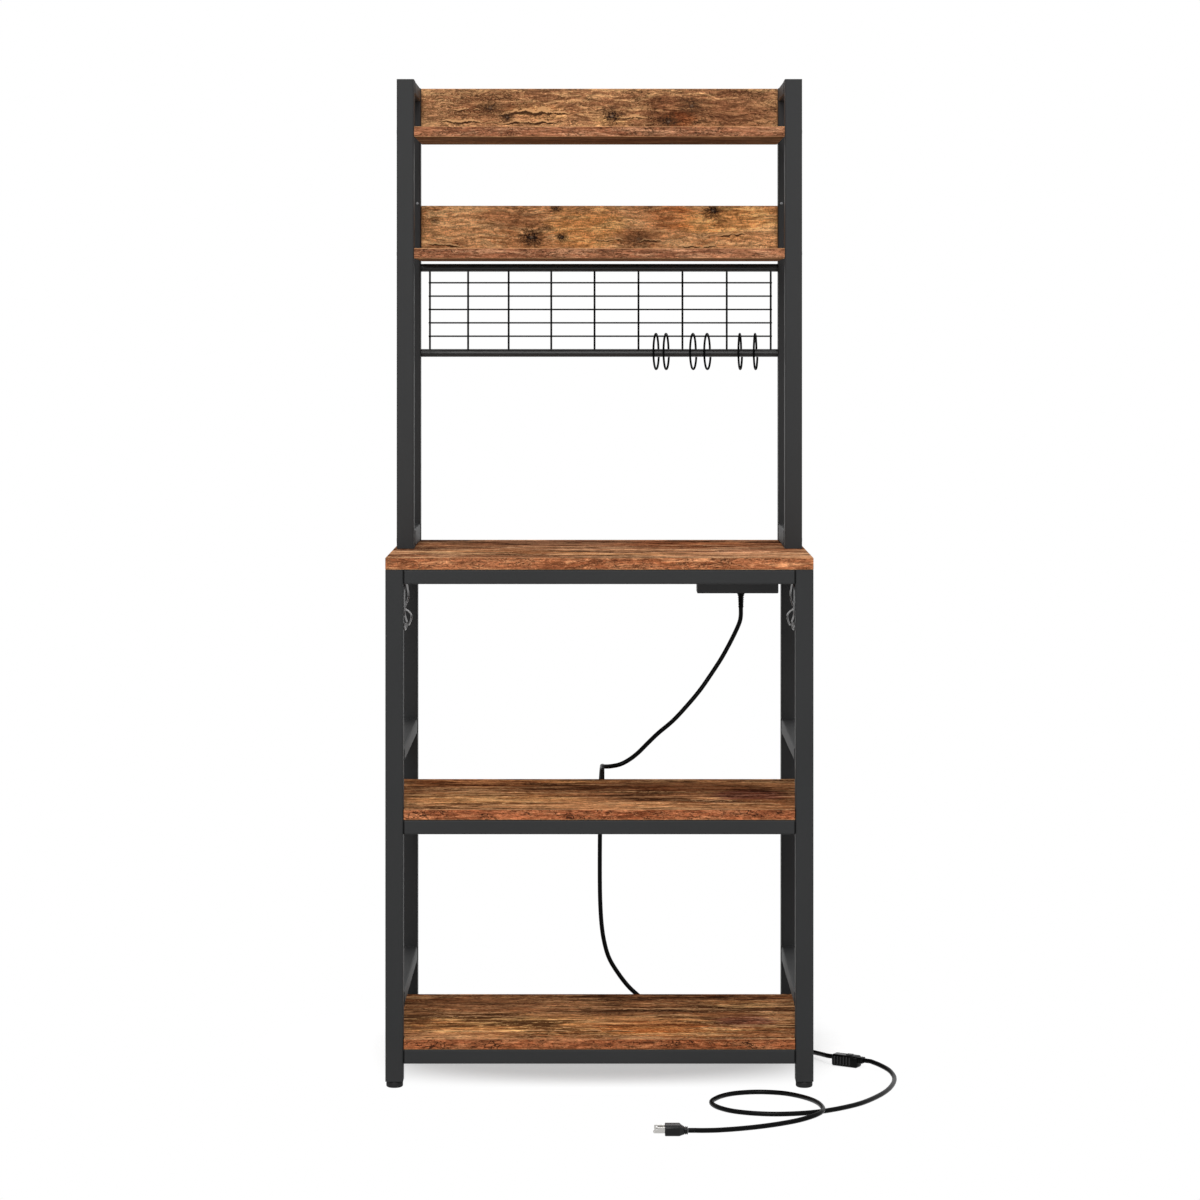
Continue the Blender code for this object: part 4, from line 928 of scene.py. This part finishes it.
def buildFoot(s):
    pad = addTurned(s["pad"], s["sides"])
    turn, low, high = 2 * math.pi / s["sides"], s["fluteLow"], s["fluteHigh"]
    selectWhere(pad, "VERT", lambda point: low < point.co.z < high
                and round(math.atan2(point.co.x, point.co.y) / turn) % 2)
    bpy.ops.transform.resize(value=(s["flute"], s["flute"], 1), center_override=(0, 0, 0))
    endEdit()
    root, height = s["rootRadius"], s["padTop"]
    ridges = [(root, height - s["lap"])]
    while height < s["stemTop"] - s["pitch"]:
        ridges += [(root, height), (s["stemRadius"], height + s["pitch"] / 2)]
        height += s["pitch"]
    ridges += [(root, height), (root - s["tipIn"], s["stemTop"])]
    foot = joined([pad, addTurned(ridges, s["stemSides"])])
    smoothAngle(foot, 30)
    return foot


def layFeet(s):
    corners = [(end, side) for end in ("front", "rear") for side in ("left", "right")]
    boxes = [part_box(f"foot_{end}_{side}") for end, side in corners]
    spots = [(((low[0] + high[0]) / 2, (low[1] + high[1]) / 2, low[2]),) for low, high in boxes]
    for (end, side), foot in zip(corners, copiesOf(buildFoot(s), spots)):
        finishPiece(foot, f"levellingFoot{end.capitalize()}{side.capitalize()}", "footPlastic", "foot_rubber",
                    f"foot_{end}_{side}", body=f"foot_{end}_{side}_body")


# power block: housing with a seam and screws, face plate with two outlets, and the gland

blockSettings = {
    "middle": (0.2078, 0.69645), "rear": 0.1797, "width": 0.1224, "height": 0.0595, "corner": 0.0016,
    "shell": ((0, 0.0009), (0.00027, 0.00027), (0.0009, 0), (0.0361, 0), (0.0365, 0.0004)),  # how far along, and inward
    "seam": (0.1478, 0.1486, 0.0005), "screw": (0.0028, 0.0008), "screwTurn": 0.6,
    "screws": ((-0.052, 0.006), (0.052, 0.006), (-0.052, 0.029), (0.052, 0.029)),
}
faceSettings = {
    "middle": (0.2078, 0.69645), "rear": 0.1429, "thick": 0.003, "width": 0.1224, "height": 0.0595, "corner": 0.0016,
    "edge": 0.0007, "outletPitch": 0.06, "insert": (0.0345, 0.0275), "insertDeep": 0.0007, "insertCorner": 0.006,
    "slotPitch": 0.0127, "slotHalf": (0.0012, 0.0042), "slotRise": 0.0045, "earthDrop": 0.0074, "earthRadius": 0.0027,
    "overrun": 0.002, "screw": (0.003, 0.0008), "screwTurn": 0.5,
}
glandSettings = {
    "place": (0.213, 0.152, 0.6444), "sides": 28, "tip": 0.0038, "tipRound": 0.0006, "widening": 0.04,
    "rings": 5, "ringStart": 0.001, "ringPitch": 0.0032,
    "ring": ((0, 0.0006), (0, 0.00176), (0.0007, 0.00224), (0.0007, 0.00304)),  # how far in, and how far along
    "root": ((0.0046, 0.0176), (0.0048, 0.0197), (0.0053, 0.02), (0.0056, 0.0204), (0.0056, 0.0217), (0.0053, 0.022)),
}


screwSettings = {"rim": -0.0006, "dome": ((1, 0.35), (0.82, 0.8), (0.45, 1)), "slot": (1.2, 0.14, 0.3), "sides": 20}


def addScrews(size, spots, s=screwSettings):
    # low domes with a slot across them, copied to their spots
    radius, proud = size
    head = addTurned([(radius, s["rim"]), *((wide * radius, high * proud) for wide, high in s["dome"])], s["sides"])
    reach, half, deep = s["slot"][0] * radius, s["slot"][1] * radius, s["slot"][2] * proud
    cutAway(head, addBlock((-reach, -half, deep), (reach, half, 2 * proud)))
    smoothAngle(head, 35)
    return copiesOf(head, spots)


def buildBlock(s):
    (x, z), rear, width, height = s["middle"], s["rear"], s["width"], s["height"]
    stations = [(along, width - 2 * inward, height - 2 * inward, 0) for along, inward in s["shell"]]
    housing = addStepped(stations, s["corner"], place=(x, rear, z), turn=(0, 0, -quarterTurn))
    addGroove(housing, 1, *s["seam"])
    smoothAngle(housing, 30)
    spots = [((x + along, rear - back, z - height / 2), (math.pi, 0, s["screwTurn"])) for along, back in s["screws"]]
    whole = joined([housing, *addScrews(s["screw"], spots)])
    finishPiece(whole, "powerHousing", "blockPlastic", "black_plastic", "power_block")


def buildFace(s):
    (x, z), width, height, edge = s["middle"], s["width"], s["height"], s["edge"]
    rear, thick, overrun, level = s["rear"], s["thick"], s["overrun"], z + s["slotRise"]
    front, turn, (halfWide, halfTall) = rear - thick, (0, 0, -quarterTurn), s["slotHalf"]
    stations = [(0, width, height, 0), (thick - edge, width, height, 0),
                (thick, width - 2 * edge, height - 2 * edge, 0)]
    face = addStepped(stations, s["corner"], place=(x, rear, z), turn=turn)
    for side in (-1, 1):
        outletX = x + side * s["outletPitch"] / 2
        stations = [(along, *s["insert"], 0) for along in (0, thick)]
        cutAway(face, addStepped(stations, s["insertCorner"], 6, (outletX, front + s["insertDeep"], z), turn))
        for slot in (-1, 1):
            slotX = outletX + slot * s["slotPitch"] / 2
            low = (slotX - halfWide, front - overrun, level - halfTall)
            cutAway(face, addBlock(low, (slotX + halfWide, rear + overrun, level + halfTall)))
        hole = [(s["earthRadius"], reach * overrun) for reach in (-2, 4)]
        cutAway(face, addTurned(hole, 20, (outletX, front, z - s["earthDrop"]), (-quarterTurn, 0, 0)))
    smoothAngle(face, 30)
    whole = joined([face, *addScrews(s["screw"], [((x, front, z), (quarterTurn, s["screwTurn"], 0))])])
    finishPiece(whole, "powerFacePlate", "facePlastic", "face_plastic", "power_face")


def buildGland(s):
    tip, edge, pitch = s["tip"], s["tipRound"], s["ringPitch"]
    profile = [(tip - edge, 0), (tip, edge)]
    for index in range(s["rings"]):
        start = s["ringStart"] + pitch * index
        wide = tip + s["widening"] * (start + pitch)
        profile += [(wide - inward, start + along) for inward, along in s["ring"]]
    gland = addTurned([*profile, *s["root"]], s["sides"], s["place"])
    smoothAngle(gland, 35)
    finishPiece(gland, "cordGland", "glandRubber", "cord_rubber", "cord_gland")


# clip over the middle shelf's rear edge: a plate with a bent-over saddle

clipSettings = {"x": 0.0045, "front": 0.1173, "width": 0.0062, "thick": 0.0022, "low": 0.379, "high": 0.4068,
                "saddle": 0.009, "round": 0.0006}


def buildClip(s):
    half, saddleLow = s["width"] / 2, s["high"] - s["thick"]
    clip = addBlock((s["x"] - half, s["front"], s["low"]), (s["x"] + half, s["front"] + s["thick"], s["high"]))
    cutAcross(clip, 2, saddleLow)
    selectWhere(clip, "FACE", lambda face: face.normal.y < -0.9 and face.center.z > saddleLow)
    bpy.ops.mesh.extrude_region_move(TRANSFORM_OT_translate={"value": (0, s["thick"] - s["saddle"], 0)})
    endEdit()
    softenEdges(clip, s["round"], 3, 40)
    smoothAngle(clip, 40)
    finishPiece(clip, "cordClip", "blockPlastic", "black_plastic", "cord_clip")


# inline box: two shells with a seam, grip ribs, a ringed neck and the reset button's pocket

boxSettings = {
    "width": 0.0172, "height": 0.0168, "corner": 0.0024, "seam": (0.011, 0.0115, 0.0004),
    "shell": ((0, 0.004, 0.0036), (0.0007, 0.0018, 0.0016), (0.002, 0, 0), (0.0386, 0, 0), (0.0402, 0.002, 0.0018),
              (0.041, 0.0042, 0.0038)),  # along, and what is taken off the width and the height
    "ribs": 6, "ribFirst": 0.0056, "ribPitch": 0.0048, "ribLevel": 0.009, "ribLength": 0.019, "ribCorner": 0.0003,
    "rib": (0.0024, 0.0112), "ribEnd": (0.0014, 0.01), "ribEdge": 0.0005,
    "neckStart": 0.035, "neckShoulder": 0.0476, "neckEnd": 0.049, "neckLevel": 0.0113, "neckCorner": 0.0022,
    "neck": (0.012, 0.0087), "neckThin": (0.0104, 0.0073), "neckTip": (0.0094, 0.0067),
    "neckRings": (0.0418, 0.0446),
    "neckRing": ((0, "neck"), (0.0003, "neckThin"), (0.001, "neckThin"), (0.0013, "neck")),
    "button": (0.009, 0.007), "buttonAt": 0.026, "buttonProud": 0.0014, "buttonDeep": 0.003, "travel": 0.0012,
    "gap": 0.0003, "overrun": 0.002, "dish": (0.0012, 0.0003), "buttonRound": 0.0004,
}


def buildInlineBox(s, c):
    width, height, edge, long = s["width"], s["height"], s["ribEdge"], s["ribLength"]
    stations = [(along, width - thinner, height - lower, height / 2) for along, thinner, lower in s["shell"]]
    shell = addStepped(stations, s["corner"], 4)
    addGroove(shell, 2, *s["seam"])
    rib, end = (*s["rib"], 0), (*s["ribEnd"], 0)
    alongs = [s["ribFirst"] + s["ribPitch"] * index for index in range(s["ribs"])]
    spots = [((along, -long / 2, s["ribLevel"]), (0, 0, quarterTurn)) for along in alongs]
    ribs = addStepped([(0, *end), (edge, *rib), (long - edge, *rib), (long, *end)], s["ribCorner"], 2)
    stations = [(s["neckStart"], "neck")]
    stations += [(start + along, size) for start in s["neckRings"] for along, size in s["neckRing"]]
    stations += [(s["neckShoulder"], "neck"), (s["neckEnd"], "neckTip")]
    neck = addStepped([(along, *s[size], s["neckLevel"]) for along, size in stations], s["neckCorner"], 4)

    def buttonBlock(room, low, high):
        halfLong, halfWide = s["button"][0] / 2 + room, s["button"][1] / 2 + room
        return addBlock((s["buttonAt"] - halfLong, -halfWide, low), (s["buttonAt"] + halfLong, halfWide, high))

    floor = height - s["buttonDeep"]
    cutAway(shell, buttonBlock(s["gap"], floor - s["travel"] - s["gap"], height + s["overrun"]))
    box = joined([shell, *copiesOf(ribs, spots), neck])
    smoothAngle(box, 35)
    button = buttonBlock(0, floor, height + s["buttonProud"])
    selectWhere(button, "FACE", lambda face: face.normal.z > 0.9)
    bpy.ops.mesh.inset(thickness=s["dish"][0], depth=-s["dish"][1])
    endEdit()
    softenEdges(button, s["buttonRound"], 2, 30)
    smoothAngle(button, 35)
    for piece in (box, button):
        turnAndPlace(piece, (*c["boxPlace"], c["gap"]), (0, 0, c["boxHeading"]))
    finishPiece(box, "inlineBox", "boxPlastic", "black_plastic", "inline_box")
    finishPiece(button, "resetButton", "facePlastic", "face_plastic", "reset_button", body="reset_button_body")


# plug: moulded body with a ringed tail, two holed blades and a round-tipped pin

plugSettings = {
    "corner": 0.0022, "tip": (0.0116, 0.0078, 0.0059), "tail": (0.013, 0.009, 0.0059),
    "ring": (0.0112, 0.0076, 0.0059), "neck": (0.018, 0.0112, 0.0064), "shoulder": (0.0234, 0.0139, 0.0071),
    "body": (0.024, 0.0142, 0.0071), "front": (0.0226, 0.0128, 0.0071),
    "stations": ((0, "tip"), (0.0006, "tail"), (0.0014, "tail"), (0.0017, "ring"), (0.0024, "ring"), (0.0027, "tail"),
                 (0.0035, "tail"), (0.0038, "ring"), (0.0044, "ring"), (0.0048, "tail"), (0.008, "neck"),
                 (0.0108, "shoulder"), (0.0122, "body"), (0.0296, "body"), (0.0304, "front")),
    "bladePitch": 0.0127, "blade": (0.0015, 0.0062), "bladeLevel": 0.0088, "bladeCorner": 0.0003,
    "bladeSteps": ((0.029, 1, 1), (0.0428, 1, 1), (0.044, 0.8, 0.86), (0.0444, 0.5, 0.7)),
    "holeAt": 0.0412, "holeRadius": 0.0015, "holeReach": 0.003,
    "pinStart": 0.029, "pinLength": 0.0169, "pinRadius": 0.0022, "pinLevel": 0.0042,
    "pinTip": ((1, 1), (0.87, 0.5), (0.5, 0.13), (0.2, 0)),  # in radii: how wide, and how far from the tip
}


def buildPlug(s, c):
    plug = addStepped([(along, *s[size]) for along, size in s["stations"]], s["corner"], 4)
    smoothAngle(plug, 28)
    (thick, tall), level, radius = s["blade"], s["bladeLevel"], s["pinRadius"]
    stations = [(along, thin * thick, low * tall, level) for along, thin, low in s["bladeSteps"]]
    blade = addStepped(stations, s["bladeCorner"], 2)
    hole = [(s["holeRadius"], end * s["holeReach"]) for end in (-1, 1)]
    cutAway(blade, addTurned(hole, 16, (s["holeAt"], 0, level), (quarterTurn, 0, 0)))
    blades = copiesOf(blade, [((0, side * s["bladePitch"] / 2, 0),) for side in (-1, 1)])
    profile = [(radius, 0), *((wide * radius, s["pinLength"] - back * radius) for wide, back in s["pinTip"])]
    pin = addTurned(profile, 20, (s["pinStart"], 0, s["pinLevel"]), (0, quarterTurn, 0))
    contacts = joined([*blades, pin])
    smoothAngle(contacts, 40)
    for piece in (plug, contacts):
        turnAndPlace(piece, (*c["plugPlace"], c["gap"]), (0, 0, c["plugHeading"]))
    finishPiece(plug, "plugBody", "plugRubber", "cord_rubber", "plug_body")
    finishPiece(contacts, "plugContacts", "nickel", "nickel_contact", "plug_contacts")


# trim: welds round the side tubes' ends, bolts and screws

trimSettings = {
    "frameX": 0.3, "weldSteps": (0, 0.00044, 0.0011), "weldProud": 0.0009, "weldCorner": 0.0022, "weldGap": 0.0003,
    "boltX": 0.2752, "boltY": 0.1748, "boltZ": 1.2537, "bolt": (0.0022, 0.001),
    "screwX": 0.2955, "screwY": (-0.003, 0.1875), "screwZ": (1.1738, 1.3515, 0.756), "screw": (0.0034, 0.0004),
    "bars": ("side_rail_top", "side_rail_middle", "side_rail_bottom", "guard_bar_middle", "guard_bar_bottom",
             "hutch_base_bar", "hutch_top_bar"),
}


def buildWelds(s):
    welds = {"framePaint": [], "hutchPaint": []}
    for bar in s["bars"]:
        hutch = bar.startswith("hutch")
        limit = s["screwX"] if hutch else s["frameX"]
        proud = 0 if "top_bar" in bar else s["weldProud"]
        for low, high in (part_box(bar + "_left"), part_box(bar + "_right")):
            left = max(low[0] - s["weldProud"], -limit)
            right = min(high[0] + s["weldProud"], limit)
            width, height, (start, middle, end) = right - left, high[2] - low[2], s["weldSteps"]
            stations = [(start, width, height + 2 * proud, 0), (middle, width - 0.5 * proud, height + proud, 0),
                        (end, high[0] - low[0], height, 0)]
            x, level = (left + right) / 2, (low[2] + high[2]) / 2
            spots = [((x, low[1] - s["weldGap"], level), (0, 0, quarterTurn)),
                     ((x, high[1] + s["weldGap"], level), (0, 0, -quarterTurn))]
            welds["hutchPaint" if hutch else "framePaint"] += copiesOf(addStepped(stations, s["weldCorner"], 2), spots)
    for finish, name in (("framePaint", "frameWelds"), ("hutchPaint", "hutchWelds")):
        whole = joined(welds[finish])
        smoothAngle(whole, 50)
        finishPiece(whole, name, finish, "frame_steel")


def buildBolts(s):
    spots = [((side * s["boltX"], s["boltY"], s["boltZ"]), (quarterTurn, 0, 0)) for side in (-1, 1)]
    finishPiece(joined(addScrews(s["bolt"], spots)), "backboardBolts", "boltSteel", "nickel_contact")
    spots = [((side * s["screwX"], y, z), (0, side * quarterTurn, 0))
             for side in (-1, 1) for z in s["screwZ"] for y in s["screwY"]]
    finishPiece(joined(addScrews(s["screw"], spots)), "postScrews", "hutchPaint", "frame_steel")


buildGrid(gridSettings)
buildHooks(hookSettings)
buildScrolls(scrollSettings)
layFeet(footSettings)
print("rack: wires and feet made")
buildBlock(blockSettings)
buildFace(faceSettings)
buildGland(glandSettings)
buildClip(clipSettings)
buildInlineBox(boxSettings, cordSettings)
buildPlug(plugSettings, cordSettings)
print("rack: power block, box and plug made")
buildWelds(trimSettings)
buildBolts(trimSettings)
print("rack: trim made")


# plain pale floor and soft studio light

lightSettings = {
    "floorSize": 60, "floorColour": (0.8, 0.8, 0.8), "floorLift": 0.5, "world": 0.42,
    "fadeScale": (1.2, 1.8, 1), "fadeAt": (0, -0.18, 0), "fadeFrom": 0.36, "fadeTo": 0.62,
    "lamps": {
        "top": {"place": (0, -0.9, 4.4), "aim": (0, 0, 0.6), "size": 2.6, "power": 62},
        "key": {"place": (-0.5, -4.7, 4.9), "aim": (0, 0, 0.7), "size": 2.4, "power": 105},
        "front": {"place": (-0.6, -5.8, 2.9), "aim": (0, 0, 0.7), "size": 2.2, "power": 100},
        "side": {"place": (2.6, -4.6, 2.4), "aim": (0, 0, 0.8), "size": 2, "power": 12},
    },
}
white = (1, 1, 1, 1)


def seenPlain():
    # one where a ray comes from the camera, a mirror or glass
    path = addNode("LightPath")
    either = sums("MAXIMUM", path["Is Camera Ray"], path["Is Glossy Ray"])
    return sums("MAXIMUM", either, path["Is Transmission Ray"])


def setUpWorld(s):
    world = bpy.context.scene.world = bpy.data.worlds.new("studio")
    world.use_nodes = True
    bench["tree"] = world.node_tree
    lit = world.node_tree.nodes["Background"]
    feed(lit, {"Color": white, "Strength": s["world"]})
    plain = addNode("Background", {"Color": white, "Strength": 1.0})[0]
    mixed = addNode("MixShader", {0: seenPlain(), 1: lit.outputs[0], 2: plain})[0]
    feed(world.node_tree.nodes["World Output"], {"Surface": mixed})


def layFloor(s):
    # pale paper that keeps the rack's shadow and fades to white away from it
    clearSelection()
    bpy.ops.mesh.primitive_plane_add(size=s["floorSize"], location=(0, 0, 0))
    floor = bpy.context.object
    floor.name = "studioFloor"
    finish, shader, place = startFinish("floorPaper")
    speck = spread(noiseAt(place, (40, 40, 40), detail=2, rough=0.5), 0.3, 0.7, 0.985, 1)
    feed(shader, {"Base Color": vectors("SCALE", s["floorColour"], speck), "Roughness": 0.9,
                  "Specular IOR Level": 0.1})
    plain = seenPlain()
    lift = addNode("Emission", {"Color": white, "Strength": times(plain, s["floorLift"])})[0]
    near = addNode("AddShader", {0: shader.outputs[0], 1: lift})[0]
    away = vectors("LENGTH", stretched(place, s["fadeScale"], s["fadeAt"]))
    far = times(spread(away, s["fadeFrom"], s["fadeTo"]), plain)
    plainWhite = addNode("Emission", {"Color": white, "Strength": 1.0})[0]
    whole = addNode("MixShader", {0: far, 1: near, 2: plainWhite})[0]
    feed(finish.node_tree.nodes["Material Output"], {"Surface": whole})
    floor.data.materials.append(finish)


def hangLamps(s):
    for name, lamp in s["lamps"].items():
        clearSelection()
        bpy.ops.object.light_add(type="AREA", location=lamp["place"])
        light = bpy.context.object
        light.name = name + "Lamp"
        light.data.size = lamp["size"]
        light.data.energy = lamp["power"]
        aim = Vector(lamp["aim"]) - Vector(lamp["place"])
        light.rotation_euler = aim.to_track_quat("-Z", "Y").to_euler()


setUpWorld(lightSettings)
layFloor(lightSettings)
hangLamps(lightSettings)
bpy.context.scene.view_settings.view_transform = "Standard"
print("rack: floor and light set")
